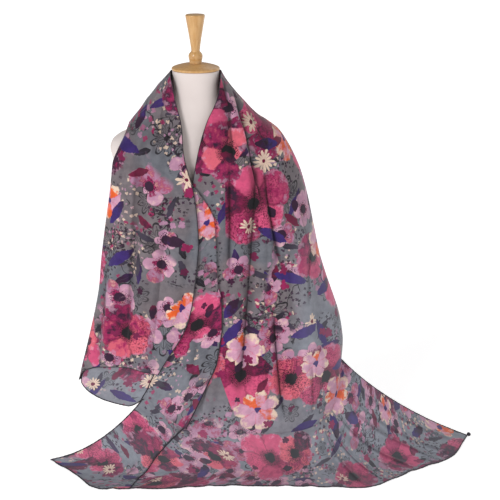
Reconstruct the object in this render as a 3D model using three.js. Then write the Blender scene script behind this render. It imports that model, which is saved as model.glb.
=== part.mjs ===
// A voile scarf draped over a tabletop dress form, in millimetres with +Z up.
// The origin is the centre of the base's underside, and the form faces -Y.
import * as THREE from 'three';

// ---- Driving dimensions ----

const WALL = 1.6; // thickness of the cloth
const SEAM = 0.6; // gap between two stretches of the scarf
const SEAT = 0.3; // gap between pieces that stand on each other
const LAYER_STEP = 5.5; // from one cloth layer to the next
const ROUNDING = 0.88; // below 1 the cloth's sections are fuller than an ellipse

const POLE = { radius: 15, collarRadius: 26, collarHeight: 12 };
const TORSO_FOOT = 112;
const NECK_TOP = 866;
const SCARF_TOP = 862;
const SHOULDER_Z = { left: 752, right: 732 }; // where each fall leaves the ridge of the shoulder
const UNDER_LAYER_TOP = 826;

// Where the left fall climbs onto the right one, and by how many layers.
const OVERLAP = { fromX: -150, toX: -95, fromZ: 770, toZ: 665, layers: 2 };
// Shares of the way down over which the right fall's rows sag, and the left fall's fold opens.
const RIGHT_DIP = { from: 0.35, to: 1 };
const FOLD_OPENING = { from: 0, to: 0.1 };
// Shares of the depth over which the back stretch leaves the line of the left shoulder.
const LEFT_SHOULDER = { from: 0.35, to: 0.9 };

const OUTER_FLOOR = 0.7; // lowest height of the cloth's upper face as a share of its wall
const KNOT_RADIUS = 4;
const KNOT_SEAT = 0.95; // the knot's middle beyond the hem, as a share of its radius

const TORSO_STEPS = { around: 32, up: 24 };
const TURNED_SIDES = 32;
const SLIM_SIDES = 20;
const LEFT_STEPS = { layer: 17, fold: 3, down: 22 };
const RIGHT_STEPS = { across: 40, down: 23 };
const BACK_STEPS = { across: 26, down: 14 };
const TRAIN_STEPS = { across: 40, out: 8 };

// Turned outlines from the axis out and up, above each piece's foot.
const BASE_OUTLINE = [
  { radius: 0, up: 0 }, { radius: 101, up: 0 }, { radius: 104, up: 3 }, { radius: 104, up: 7 },
  { radius: 99, up: 11 }, { radius: 36, up: 15 }, { radius: 30, up: 18 }, { radius: 0, up: 18 },
];
const CAP_OUTLINE = [
  { radius: 0, up: 0 }, { radius: 49.5, up: 0 }, { radius: 51.5, up: 1.5 }, { radius: 51.5, up: 4 },
  { radius: 50, up: 5.8 }, { radius: 44, up: 8.4 }, { radius: 35.5, up: 10.8 },
  { radius: 26, up: 13 }, { radius: 16, up: 14 }, { radius: 0, up: 14 },
];
const FINIAL_OUTLINE = [
  { radius: 0, up: 0 }, { radius: 13.8, up: 0 }, { radius: 13.4, up: 5 }, { radius: 14.8, up: 11 },
  { radius: 15.2, up: 15.5 }, { radius: 13.2, up: 21 }, { radius: 9.2, up: 26.5 }, { radius: 10.8, up: 40 },
  { radius: 16, up: 72 }, { radius: 20.4, up: 97 }, { radius: 20.8, up: 101 }, { radius: 19, up: 103 },
  { radius: 0, up: 103.5 },
];

// The form, one row for each height: half width, depth before and behind the axis.
const TORSO_SECTIONS = [
  { z: 866, half: 50, front: 49, back: 49 },
  { z: 843, half: 50, front: 48, back: 48 },
  { z: 818, half: 55, front: 49, back: 48 },
  { z: 798, half: 66, front: 52, back: 50 },
  { z: 782, half: 84, front: 56, back: 53 },
  { z: 765, half: 104, front: 62, back: 58 },
  { z: 750, half: 126, front: 68, back: 63 },
  { z: 738, half: 146, front: 73, back: 67 },
  { z: 727, half: 168, front: 78, back: 71 },
  { z: 715, half: 182, front: 84, back: 75 },
  { z: 700, half: 187, front: 91, back: 80 },
  { z: 680, half: 183, front: 98, back: 86 },
  { z: 640, half: 168, front: 106, back: 93 },
  { z: 575, half: 154, front: 112, back: 94 },
  { z: 480, half: 136, front: 100, back: 85 },
  { z: 400, half: 126, front: 88, back: 81 },
  { z: 340, half: 124, front: 84, back: 84 },
  { z: 260, half: 142, front: 94, back: 101 },
  { z: 180, half: 160, front: 100, back: 108 },
  { z: 128, half: 158, front: 98, back: 106 },
  { z: TORSO_FOOT, half: 150, front: 91, back: 99 },
];

// The body that the cloth hangs round, one row for each height: the side that the right fall
// reaches, the left fall's fold and its distance before the axis, and the depths.
const DRAPE_SECTIONS = [
  { z: 862, right: 55, left: 55, foldY: 0, front: 56, back: 56 },
  { z: 845, right: 65, left: 71, foldY: 0, front: 58, back: 62 },
  { z: 818, right: 86, left: 94, foldY: 0, front: 61, back: 70 },
  { z: 796, right: 106, left: 111, foldY: 0, front: 65, back: 78 },
  { z: 770, right: 131, left: 130, foldY: 0, front: 73, back: 86 },
  { z: 752, right: 158, left: 145, foldY: 0, front: 83, back: 92 },
  { z: 735, right: 179, left: 151, foldY: -34, front: 92, back: 98 },
  { z: 705, right: 199, left: 166, foldY: -73, front: 104, back: 104 },
  { z: 682, right: 211, left: 175, foldY: -80, front: 110, back: 108 },
  { z: 648, right: 226, left: 179, foldY: -82, front: 117, back: 112 },
  { z: 600, right: 240, left: 186, foldY: -80, front: 123, back: 116 },
  { z: 526, right: 256, left: 198, foldY: -76, front: 127, back: 118 },
  { z: 463, right: 269, left: 207, foldY: -72, front: 129, back: 116 },
  { z: 407, right: 286, left: 213, foldY: -70, front: 131, back: 114 },
  { z: 355, right: 304, left: 223, foldY: -68, front: 133, back: 110 },
  { z: 305, right: 319, left: 235, foldY: -66, front: 135, back: 104 },
  { z: 250, right: 326, left: 249, foldY: -64, front: 137, back: 98 },
  { z: 200, right: 323, left: 262, foldY: -62, front: 138, back: 92 },
  { z: 60, right: 318, left: 290, foldY: -60, front: 140, back: 86 },
];

// Edges of the cloth: x at each height, where the sheet's own side is positive for the right.
const RIGHT_INNER_EDGE = [
  { z: 862, x: 54 }, { z: 848, x: 53 }, { z: 819, x: 48 }, { z: 799, x: 41 }, { z: 771, x: 27 },
  { z: 741, x: 16 }, { z: 698, x: 5 }, { z: 647, x: -4 }, { z: 540, x: -22 }, { z: 430, x: -44 },
  { z: 334, x: -66 }, { z: 250, x: -83 }, { z: 200, x: -91 },
];
const LEFT_INNER_EDGE = [
  { z: 862, x: -54 }, { z: 836, x: -47 }, { z: 810, x: -42 }, { z: 771, x: -31 }, { z: 750, x: -27 },
  { z: 711, x: -23 }, { z: 669, x: -13 }, { z: 642, x: -5 }, { z: 609, x: 1 }, { z: 566, x: 5 },
  { z: 519, x: 7 }, { z: 475, x: 4 }, { z: 430, x: -1 }, { z: 371, x: -10 }, { z: 323, x: -25 },
  { z: 260, x: -61 }, { z: 215, x: -86 },
];
const UNDER_LAYER_EDGE = [
  { z: 862, x: -56 }, { z: 771, x: -36 }, { z: 711, x: -27 }, { z: 650, x: -8 }, { z: 620, x: 14 },
  { z: 566, x: 40 }, { z: 500, x: 44 }, { z: 430, x: 46 }, { z: 389, x: 55 }, { z: 334, x: 55 },
  { z: 285, x: 49 }, { z: 248, x: 43 }, { z: 215, x: 32 }, { z: 174, x: 18 }, { z: 120, x: -6 },
];

// Hems, by the share of the way across each layer from its inner edge.
const FRONT_HEM = [
  { share: 0, z: 222 }, { share: 0.25, z: 230 }, { share: 0.5, z: 228 }, { share: 0.8, z: 216 },
  { share: 1, z: 190 },
];
const UNDER_HEM = [
  { share: 0, z: 142 }, { share: 0.3, z: 141 }, { share: 0.5, z: 149 }, { share: 0.7, z: 168 },
  { share: 0.85, z: 186 }, { share: 1, z: 196 },
];
const BACK_HEM = [
  { share: 0, z: 752 }, { share: 0.14, z: 747 }, { share: 0.2, z: 735 }, { share: 0.27, z: 700 },
  { share: 0.35, z: 640 }, { share: 0.43, z: 565 }, { share: 0.5, z: 505 }, { share: 0.6, z: 430 },
  { share: 0.7, z: 365 }, { share: 0.85, z: 275 }, { share: 1, z: 206 },
];
const RIGHT_FOOT = [
  { share: 0, z: 203 }, { share: 0.12, z: 130 }, { share: 0.3, z: 82 }, { share: 0.55, z: 74 },
  { share: 0.78, z: 96 }, { share: 0.92, z: 150 }, { share: 1, z: 206 },
];

// The train, by the share of the way across: where the hem lies, and the knee between the
// hanging cloth and the surface as a share of the way out and a height.
const TRAIN_STATIONS = [
  { share: 0, hemX: -332, hemY: -104, knee: 0.42, kneeZ: 40 },
  { share: 0.1, hemX: -266, hemY: -178, knee: 0.3, kneeZ: 16 },
  { share: 0.18, hemX: -207, hemY: -246, knee: 0.25, kneeZ: 5 },
  { share: 0.3, hemX: -88, hemY: -245, knee: 0.18, kneeZ: 2 },
  { share: 0.44, hemX: 60, hemY: -231, knee: 0.14, kneeZ: 2 },
  { share: 0.58, hemX: 212, hemY: -233, knee: 0.14, kneeZ: 2 },
  { share: 0.7, hemX: 352, hemY: -240, knee: 0.2, kneeZ: 2 },
  { share: 0.82, hemX: 480, hemY: -156, knee: 0.25, kneeZ: 8 },
  { share: 0.92, hemX: 574, hemY: -84, knee: 0.3, kneeZ: 34 },
  { share: 1, hemX: 624, hemY: 26, knee: 0.32, kneeZ: 92 },
];

// Folds that run down the cloth: x of the crest at its top, middle and foot, its half width
// and how far it stands out, or in where that is negative.
const RIGHT_FOLDS = [
  { top: 818, foot: 680, topX: 62, midX: 100, footX: 130, width: 12, rise: 7 },
  { top: 826, foot: 570, topX: 80, midX: 122, footX: 137, width: 10, rise: -8 },
  { top: 700, foot: 430, topX: 76, midX: 79, footX: 72, width: 10, rise: -5 },
  { top: 640, foot: 170, topX: 130, midX: 118, footX: 99, width: 11, rise: -8 },
  { top: 600, foot: 120, topX: 152, midX: 141, footX: 124, width: 16, rise: 6 },
  { top: 670, foot: 440, topX: 150, midX: 165, footX: 184, width: 10, rise: -6 },
  { top: 390, foot: 110, topX: 167, midX: 180, footX: 194, width: 11, rise: -8 },
  { top: 560, foot: 210, topX: 208, midX: 232, footX: 256, width: 24, rise: 8 },
  { top: 480, foot: 200, topX: 246, midX: 270, footX: 290, width: 16, rise: -5 },
  { top: 420, foot: 90, topX: 84, midX: 84, footX: 78, width: 12, rise: 5 },
];
const LEFT_FOLDS = [
  { top: 770, foot: 300, topX: -66, midX: -88, footX: -122, width: 20, rise: 6 },
  { top: 720, foot: 240, topX: -104, midX: -130, footX: -166, width: 16, rise: -5 },
  { top: 640, foot: 200, topX: -136, midX: -168, footX: -206, width: 18, rise: 5 },
  { top: 620, foot: 230, topX: -24, midX: -26, footX: -82, width: 14, rise: 5 },
];
const FADE = 0.22; // share of a fold's length over which it comes and goes

// Swags across the back: how many, how far they stand out, and how far their middles drop.
const SWAG = { count: 3.5, rise: 8, drop: 0.16, from: 0.02, to: 0.3 };

// Folds that fan out over the train, by the share of the way across, and the shares of the way
// out over which they come and go.
const TRAIN_SWELL = { from: 0.05, full: 0.4, ease: 0.75, to: 0.98 };
const TRAIN_FOLDS = [
  { share: 0.14, width: 0.022, rise: 7 },
  { share: 0.25, width: 0.02, rise: 5 },
  { share: 0.39, width: 0.022, rise: 6 },
  { share: 0.53, width: 0.02, rise: 7 },
  { share: 0.66, width: 0.024, rise: 7 },
  { share: 0.78, width: 0.024, rise: 6 },
  { share: 0.88, width: 0.026, rise: 7 },
];

const COLOURS = { voile: 0x77747c, hem: 0x1b1820, form: 0xe2dbd6, beech: 0xc99a5c };

// ---- Helpers ----

const mix = THREE.MathUtils.lerp;
const clamp = THREE.MathUtils.clamp;
const QUARTER = Math.PI / 2;

function fade(value, from, to) {
  const share = clamp((value - from) / (to - from), 0, 1);
  return share * share * (3 - 2 * share);
}

// Smooth value of one column of a table at a place along its first column.
function tableValue(rows, along, at, column) {
  const ascending = rows[0][along] < rows[rows.length - 1][along];
  const list = ascending ? rows : [...rows].reverse();
  const place = clamp(at, list[0][along], list[list.length - 1][along]);
  let i = 0;
  while (i < list.length - 2 && place > list[i + 1][along]) i += 1;
  const slope = (k) => (list[k + 1][column] - list[k][column]) / (list[k + 1][along] - list[k][along]);
  const tangent = (k) => {
    if (k === 0) return slope(0);
    if (k === list.length - 1) return slope(k - 1);
    const before = slope(k - 1);
    const after = slope(k);
    return before * after <= 0 ? 0 : (2 * before * after) / (before + after);
  };
  const width = list[i + 1][along] - list[i][along];
  const t = (place - list[i][along]) / width;
  const t2 = t * t;
  const t3 = t2 * t;
  return (2 * t3 - 3 * t2 + 1) * list[i][column] + (t3 - 2 * t2 + t) * width * tangent(i)
    + (3 * t2 - 2 * t3) * list[i + 1][column] + (t3 - t2) * width * tangent(i + 1);
}

const drape = (z, column) => tableValue(DRAPE_SECTIONS, 'z', z, column);
const byShare = (rows, share, column = 'z') => tableValue(rows, 'share', share, column);

// Angle round the drape, from straight ahead, at which it passes x.
function angleAt(z, x) {
  const reach = drape(z, x < 0 ? 'left' : 'right');
  return Math.sign(x) * Math.asin(Math.min(Math.abs(x) / reach, 1) ** (1 / ROUNDING));
}

function foldRise(folds, x, z) {
  let rise = 0;
  for (const fold of folds) {
    const down = (fold.top - z) / (fold.top - fold.foot);
    if (down <= 0 || down >= 1) continue;
    const crest = mix(mix(fold.topX, fold.midX, down), mix(fold.midX, fold.footX, down), down);
    const strength = fade(down, 0, FADE) * (1 - fade(down, 1 - FADE, 1));
    rise += fold.rise * strength * Math.exp(-(((x - crest) / fold.width) ** 2));
  }
  return rise;
}

// A point of the front at an angle and height, moved out from the drape.
function frontPoint(angle, z, foldY, folds, lift) {
  const side = Math.abs(Math.sin(angle)) ** ROUNDING;
  const depth = Math.abs(Math.cos(angle)) ** ROUNDING;
  const x = Math.sign(angle) * drape(z, angle < 0 ? 'left' : 'right') * side;
  const y = foldY + (-drape(z, 'front') - foldY) * depth;
  const out = lift + foldRise(folds, x, z) * depth ** 0.5;
  return new THREE.Vector3(x + Math.sin(angle) * out, y - Math.cos(angle) * out - SEAM / 2, z);
}

// A closed wall of even thickness about a grid of points, kept above the surface.
function wallGeometry(grid) {
  const rows = grid.length;
  const columns = grid[0].length;
  const positions = [];
  const across = new THREE.Vector3();
  const down = new THREE.Vector3();
  for (const side of [0.5, -0.5]) {
    for (let j = 0; j < rows; j += 1) {
      for (let i = 0; i < columns; i += 1) {
        across.subVectors(grid[j][Math.min(i + 1, columns - 1)], grid[j][Math.max(i - 1, 0)]);
        down.subVectors(grid[Math.min(j + 1, rows - 1)][i], grid[Math.max(j - 1, 0)][i]);
        const normal = down.clone().cross(across).normalize();
        const point = grid[j][i].clone().addScaledVector(normal, side * WALL);
        positions.push(point.x, point.y, Math.max(point.z, side < 0 ? 0 : OUTER_FLOOR * WALL));
      }
    }
  }
  const outer = (j, i) => j * columns + i;
  const inner = (j, i) => rows * columns + outer(j, i);
  const indices = [];
  const quad = (a, b, c, d) => indices.push(a, b, c, a, c, d);
  for (let j = 0; j < rows - 1; j += 1) {
    for (let i = 0; i < columns - 1; i += 1) {
      quad(outer(j, i), outer(j + 1, i), outer(j + 1, i + 1), outer(j, i + 1));
      quad(inner(j, i), inner(j, i + 1), inner(j + 1, i + 1), inner(j + 1, i));
    }
    quad(outer(j, 0), inner(j, 0), inner(j + 1, 0), outer(j + 1, 0));
    const last = columns - 1;
    quad(outer(j, last), outer(j + 1, last), inner(j + 1, last), inner(j, last));
  }
  for (let i = 0; i < columns - 1; i += 1) {
    quad(outer(0, i), outer(0, i + 1), inner(0, i + 1), inner(0, i));
    quad(outer(rows - 1, i), inner(rows - 1, i), inner(rows - 1, i + 1), outer(rows - 1, i + 1));
  }
  const geometry = new THREE.BufferGeometry();
  geometry.setAttribute('position', new THREE.Float32BufferAttribute(positions, 3));
  geometry.setIndex(indices);
  return geometry;
}

function makeGrid(rows, columns, pointAt) {
  return Array.from({ length: rows + 1 }, (_, j) => (
    Array.from({ length: columns + 1 }, (_unused, i) => pointAt(i / columns, j / rows))
  ));
}

// ---- The scarf ----

// The right fall: rows tilt from the ridge of the shoulder to level at the foot.
function rightFallPoint(across, down) {
  const innerZ = mix(SCARF_TOP, byShare(RIGHT_FOOT, 0), down);
  const sideZ = mix(SHOULDER_Z.right, byShare(RIGHT_FOOT, 1), down);
  const level = mix(byShare(RIGHT_FOOT, 0), byShare(RIGHT_FOOT, 1), across);
  const dip = (level - byShare(RIGHT_FOOT, across)) * fade(down, RIGHT_DIP.from, RIGHT_DIP.to);
  const angle = mix(angleAt(innerZ, tableValue(RIGHT_INNER_EDGE, 'z', innerZ, 'x')), QUARTER, across);
  return frontPoint(angle, mix(innerZ, sideZ, across) - dip, 0, RIGHT_FOLDS, 0);
}

// How far the left fall's layers stand off the drape.
function layerLift(x, z, under) {
  const overlap = fade(x, OVERLAP.fromX, OVERLAP.toX) * fade(z, OVERLAP.fromZ, OVERLAP.toZ);
  return LAYER_STEP * (OVERLAP.layers * overlap - (under ? 1 : 0));
}

// The left fall: across runs over the front layer, round the fold and back along the under layer.
function leftLayerPoint(share, down, under) {
  const edge = under ? UNDER_LAYER_EDGE : LEFT_INNER_EDGE;
  const hem = byShare(under ? UNDER_HEM : FRONT_HEM, share);
  const topZ = mix(under ? UNDER_LAYER_TOP : SCARF_TOP, SHOULDER_Z.left, share);
  const z = mix(topZ, hem, down);
  const inner = angleAt(z, tableValue(edge, 'z', z, 'x'));
  const angle = mix(inner, -QUARTER, share);
  const x = drape(z, 'left') * Math.sin(angle);
  return frontPoint(angle, z, drape(z, 'foldY'), LEFT_FOLDS, layerLift(x, z, under));
}

function leftFallRow(down) {
  const { layer, fold } = LEFT_STEPS;
  const row = [];
  for (let i = 0; i <= layer; i += 1) row.push(leftLayerPoint(i / layer, down, false));
  const start = leftLayerPoint(1, down, false);
  const end = leftLayerPoint(1, down, true);
  const middle = start.clone().add(end).multiplyScalar(0.5);
  const bulge = (start.distanceTo(end) / 2) * fade(down, FOLD_OPENING.from, FOLD_OPENING.to);
  for (let i = 1; i < fold; i += 1) {
    const turn = (i / fold) * Math.PI;
    const point = start.clone().sub(middle).multiplyScalar(Math.cos(turn)).add(middle);
    point.y += bulge * Math.sin(turn);
    row.push(point);
  }
  for (let i = layer; i >= 0; i -= 1) row.push(leftLayerPoint(i / layer, down, true));
  return row.reverse();
}

// The back stretch, from the ridge over the left shoulder round to the right fall's side.
function backPoint(across, down) {
  const z = mix(SCARF_TOP, byShare(BACK_HEM, across), down);
  const angle = mix(-QUARTER, QUARTER, across);
  const reach = Math.abs(Math.sin(angle)) ** ROUNDING;
  const depth = Math.abs(Math.cos(angle)) ** ROUNDING;
  const overLeft = angle < 0 ? 1 - fade(depth, LEFT_SHOULDER.from, LEFT_SHOULDER.to) : 0;
  const x = Math.sign(angle) * mix(drape(z, 'right'), drape(z, 'left'), overLeft) * reach;
  const middle = Math.sin(Math.PI * across);
  const out = SWAG.rise * middle * fade(down, SWAG.from, SWAG.to)
    * Math.cos(2 * Math.PI * SWAG.count * (down + SWAG.drop * middle));
  return new THREE.Vector3(
    x + Math.sin(angle) * out,
    drape(z, 'back') * depth + Math.cos(angle) * out + SEAM / 2,
    z,
  );
}

// The train: each column bends from the hanging cloth over a knee onto the surface.
function trainPoint(across, out) {
  const foot = rightFallPoint(across, 1);
  const station = (column) => byShare(TRAIN_STATIONS, across, column);
  const hem = new THREE.Vector3(station('hemX'), station('hemY'), WALL / 2);
  const knee = new THREE.Vector3().lerpVectors(foot, hem, station('knee'));
  knee.z = station('kneeZ');
  foot.addScaledVector(knee.clone().sub(foot).normalize(), 3 * SEAM);
  const point = foot.clone().multiplyScalar((1 - out) ** 2)
    .addScaledVector(knee, 2 * out * (1 - out))
    .addScaledVector(hem, out ** 2);
  const { from, full, ease, to } = TRAIN_SWELL;
  const swell = fade(out, from, full) * (1 - fade(out, ease, to));
  for (const fold of TRAIN_FOLDS) {
    point.z += fold.rise * swell * Math.exp(-(((across - fold.share) / fold.width) ** 2));
  }
  return point;
}

// ---- The dress form and its stand ----

function torsoGeometry() {
  const { around, up } = TORSO_STEPS;
  const positions = [];
  const sections = TORSO_SECTIONS.map((row) => row.z);
  const heights = Array.from({ length: up + 1 }, (_, j) => {
    const place = (j / up) * (sections.length - 1);
    const below = Math.min(Math.floor(place), sections.length - 2);
    return mix(sections[below], sections[below + 1], place - below);
  });
  for (const z of heights) {
    const value = (column) => tableValue(TORSO_SECTIONS, 'z', z, column);
    for (let i = 0; i < around; i += 1) {
      const angle = (i / around) * 2 * Math.PI;
      const x = Math.sign(Math.sin(angle)) * Math.abs(Math.sin(angle)) ** ROUNDING * value('half');
      const depth = Math.abs(Math.cos(angle)) ** ROUNDING * value(Math.cos(angle) < 0 ? 'front' : 'back');
      positions.push(x, Math.sign(Math.cos(angle)) * depth, z);
    }
  }
  const indices = [];
  for (let j = 0; j < up; j += 1) {
    for (let i = 0; i < around; i += 1) {
      const next = (i + 1) % around;
      const a = j * around + i;
      const b = j * around + next;
      indices.push(a, b, b + around, a, b + around, a + around);
    }
  }
  for (let i = 1; i < around - 1; i += 1) {
    indices.push(0, i + 1, i);
    indices.push(up * around, up * around + i, up * around + i + 1);
  }
  const geometry = new THREE.BufferGeometry();
  geometry.setAttribute('position', new THREE.Float32BufferAttribute(positions, 3));
  geometry.setIndex(indices);
  return geometry;
}

// A solid turned from an outline of radii and heights.
function turned(outline, foot, sides) {
  const points = outline.map((row) => new THREE.Vector2(row.radius, foot + row.up));
  const geometry = new THREE.LatheGeometry(points, sides);
  geometry.rotateX(QUARTER);
  return geometry;
}

const topOf = (outline) => outline[outline.length - 1].up;

function poleOutline(length) {
  const { radius, collarRadius, collarHeight } = POLE;
  return [
    { radius: 0, up: 0 }, { radius: collarRadius, up: 0 }, { radius: collarRadius, up: collarHeight / 2 },
    { radius, up: collarHeight }, { radius, up: length - collarHeight },
    { radius: collarRadius, up: length - collarHeight / 2 }, { radius: collarRadius, up: length },
    { radius: 0, up: length },
  ];
}

// ---- The group ----

const materials = {
  voile: new THREE.MeshStandardMaterial({ color: COLOURS.voile, roughness: 0.85, metalness: 0 }),
  hem: new THREE.MeshStandardMaterial({ color: COLOURS.hem, roughness: 0.8, metalness: 0 }),
  form: new THREE.MeshStandardMaterial({ color: COLOURS.form, roughness: 0.9, metalness: 0 }),
  beech: new THREE.MeshStandardMaterial({ color: COLOURS.beech, roughness: 0.45, metalness: 0 }),
};

const scene = new THREE.Group();

function add(name, geometry, material) {
  const mesh = new THREE.Mesh(geometry, materials[material]);
  mesh.name = name;
  scene.add(mesh);
  return mesh;
}

const poleFoot = topOf(BASE_OUTLINE) + SEAT;
const capFoot = NECK_TOP + SEAT;
const finialFoot = capFoot + topOf(CAP_OUTLINE) + SEAT;
add('stand_base', turned(BASE_OUTLINE, 0, TURNED_SIDES), 'beech');
add('stand_pole', turned(poleOutline(TORSO_FOOT - SEAT - poleFoot), poleFoot, SLIM_SIDES), 'beech');
add('dress_form', torsoGeometry(), 'form');
add('neck_cap', turned(CAP_OUTLINE, capFoot, TURNED_SIDES), 'beech');
add('finial', turned(FINIAL_OUTLINE, finialFoot, SLIM_SIDES), 'beech');

const leftRows = Array.from({ length: LEFT_STEPS.down + 1 }, (_, j) => leftFallRow(j / LEFT_STEPS.down));
const rightRows = makeGrid(RIGHT_STEPS.down, RIGHT_STEPS.across, rightFallPoint);
const backRows = makeGrid(BACK_STEPS.down, BACK_STEPS.across, backPoint).map((row) => row.reverse());
const trainRows = makeGrid(TRAIN_STEPS.out, TRAIN_STEPS.across, trainPoint);
add('scarf_left_fall', wallGeometry(leftRows), 'voile');
add('scarf_right_fall', wallGeometry(rightRows), 'voile');
add('scarf_back', wallGeometry(backRows), 'voile');
add('scarf_train', wallGeometry(trainRows), 'voile');

const knot = add('corner_knot', new THREE.SphereGeometry(KNOT_RADIUS, 10, 6), 'hem');
const corner = TRAIN_STATIONS[TRAIN_STATIONS.length - 1];
knot.position.set(corner.hemX + KNOT_RADIUS * KNOT_SEAT, corner.hemY, KNOT_RADIUS);

export default scene;
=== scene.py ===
import math
import bpy
import numpy as np
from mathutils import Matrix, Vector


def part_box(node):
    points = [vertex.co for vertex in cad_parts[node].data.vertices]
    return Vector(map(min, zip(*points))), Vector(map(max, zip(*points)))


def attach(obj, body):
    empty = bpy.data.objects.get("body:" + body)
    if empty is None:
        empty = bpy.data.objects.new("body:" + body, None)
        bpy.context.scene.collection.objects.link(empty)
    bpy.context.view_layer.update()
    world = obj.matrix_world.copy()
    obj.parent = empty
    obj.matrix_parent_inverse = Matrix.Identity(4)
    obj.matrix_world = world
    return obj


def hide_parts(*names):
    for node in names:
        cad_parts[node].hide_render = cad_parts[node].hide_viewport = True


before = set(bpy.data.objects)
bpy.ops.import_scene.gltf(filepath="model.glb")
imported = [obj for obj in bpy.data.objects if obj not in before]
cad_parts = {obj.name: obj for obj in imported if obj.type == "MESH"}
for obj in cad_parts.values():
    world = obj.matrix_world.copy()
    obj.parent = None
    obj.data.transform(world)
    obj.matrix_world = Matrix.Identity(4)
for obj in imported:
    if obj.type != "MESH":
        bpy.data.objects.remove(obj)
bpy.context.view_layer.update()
print("packed frame loaded")

# camera first
cameraView = {"place": (0.116, -2.9, 1.35), "tilt": 73, "lens": 98.2, "film": 36}
bpy.ops.object.camera_add(location=cameraView["place"], rotation=(math.radians(cameraView["tilt"]), 0, 0))
camera = bpy.context.object
camera.data.lens = cameraView["lens"]
camera.data.sensor_width = cameraView["film"]
bpy.context.scene.camera = camera
print("camera placed")

mm = 0.001
quarter = math.pi / 2


# small helpers
def ease(value, low, high):
    share = np.clip((value - low) / (high - low), 0, 1)
    return share * share * (3 - 2 * share)


def between(a, b, share):
    return a + (b - a) * share


# eases in over a span's first two numbers and out over its last two
def within(value, span):
    return ease(value, span[0], span[1]) * (1 - ease(value, span[2], span[3]))


# smooth value of one column of a table at places along its key column
def along(table, key, at, column):
    order = np.argsort(table[key])
    xs = np.array(table[key], float)[order]
    ys = np.array(table[column], float)[order]
    slope = np.diff(ys) / np.diff(xs)
    tangent = np.empty(len(xs))
    tangent[0], tangent[-1] = slope[0], slope[-1]
    product = slope[:-1] * slope[1:]
    total = np.where(product > 0, slope[:-1] + slope[1:], 1)
    tangent[1:-1] = np.where(product > 0, 2 * product / total, 0)
    at = np.clip(at, xs[0], xs[-1])
    i = np.clip(np.searchsorted(xs, at, side="right") - 1, 0, len(xs) - 2)
    width = xs[i + 1] - xs[i]
    t = (at - xs[i]) / width
    t2, t3 = t * t, t * t * t
    return ((2 * t3 - 3 * t2 + 1) * ys[i] + (t3 - 2 * t2 + t) * width * tangent[i]
            + (3 * t2 - 2 * t3) * ys[i + 1] + (t3 - t2) * width * tangent[i + 1])


def selectOnly(piece):
    bpy.ops.object.select_all(action="DESELECT")
    piece.select_set(True)
    bpy.context.view_layer.objects.active = piece


# the body that the cloth hangs round, in millimetres
drape = {
    "z":     [862, 845, 818, 796, 770, 752, 735, 705, 682, 648, 600, 526, 463, 407, 355, 305, 250, 200, 60],
    "right": [55, 65, 86, 106, 131, 158, 179, 199, 211, 226, 240, 256, 269, 286, 304, 319, 326, 323, 318],
    "left":  [55, 71, 94, 111, 130, 145, 151, 166, 175, 179, 186, 198, 207, 213, 223, 235, 249, 262, 290],
    "foldY": [0, 0, 0, 0, 0, 0, -34, -73, -80, -82, -80, -76, -72, -70, -68, -66, -64, -62, -60],
    "front": [56, 58, 61, 65, 73, 83, 92, 104, 110, 117, 123, 127, 129, 131, 133, 135, 137, 138, 140],
    "back":  [56, 62, 70, 78, 86, 92, 98, 104, 108, 112, 116, 118, 116, 114, 110, 104, 98, 92, 86],
}
cloth = {"thickness": 0.8, "seam": 0.6, "layerStep": 5.5, "rounding": 0.88, "top": 862, "underTop": 826,
         "leftShoulder": 752, "rightShoulder": 732, "foldFade": 0.22, "lapFade": 0.16, "lapEdge": 1.6,
         "troughShade": 0.035, "deepest": 12, "tuck": 6, "lengthSteps": 25}


def reach(z, column):
    return along(drape, "z", z, column)


def angleAt(z, x):
    side = np.where(x < 0, reach(z, "left"), reach(z, "right"))
    return np.sign(x) * np.arcsin(np.minimum(np.abs(x) / side, 1) ** (1 / cloth["rounding"]))


# sine and cosine of an angle, on the cloth's squarish round
def roundShares(angle):
    return np.abs(np.sin(angle)) ** cloth["rounding"], np.abs(np.cos(angle)) ** cloth["rounding"]


# a fold's row: heights of its top and foot, then its place across at top, middle and foot
def runDown(fold, z, fade):
    top, foot, topX, midX, footX = fold[:5]
    down = (top - z) / (top - foot)
    place = between(between(topX, midX, down), between(midX, footX, down), down)
    return place, within(down, (0, fade, 1 - fade, 1))


# the row goes on with width, rise and lean, which makes one side of the fold steeper than the other
def foldRise(folds, x, z):
    total = np.zeros_like(x)
    for fold in folds:
        crest, strength = runDown(fold, z, cloth["foldFade"])
        width, rise, lean = fold[5:]
        off = x - crest
        width = width * np.where(off < 0, 1 - lean, 1 + lean)
        total += rise * strength * np.exp(-((off / width) ** 2))
    return total


# a lap is a fold pressed over its neighbour: proud on one side of its edge, with painted shade darkening the
# recess on the other;
# its row goes on with width, rise, width of the painted recess shade, side and strength of the painted shade
def lapRise(laps, x, z):
    total, dark = np.zeros_like(x), np.zeros_like(x)
    for lap in laps:
        edge, strength = runDown(lap, z, cloth["lapFade"])
        width, rise, paintedRecessShade, side, shade = lap[5:]
        proud = (x - edge) * side
        over = ease(proud, -cloth["lapEdge"], cloth["lapEdge"])
        total += rise * strength * over * np.exp(-np.maximum(proud, 0) / width)
        dark += shade * strength * (1 - over) * np.exp(np.minimum(proud, 0) / paintedRecessShade)
    return total, dark


# painted shade: a fold's trough darkens the cloth's colour, more the deeper it is
def troughShade(rise):
    return cloth["troughShade"] * np.clip(-rise, 0, cloth["deepest"])


def frontPoint(angle, z, foldY, piece, lift):
    side, depth = roundShares(angle)
    x = np.sign(angle) * np.where(angle < 0, reach(z, "left"), reach(z, "right")) * side
    y = foldY + (-reach(z, "front") - foldY) * depth
    folds = foldRise(piece["folds"] + piece["creases"], x, z)
    lapped, shade = lapRise(piece["laps"], x, z)
    out = lift + (folds + lapped) * depth ** 0.5
    # painted shade from the laps and the fold troughs, kept for the cloth's colour
    shade = np.clip(shade + troughShade(folds), 0, 1)
    return np.stack([x + np.sin(angle) * out, y - np.cos(angle) * out - cloth["seam"] / 2, z], -1), shade


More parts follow.
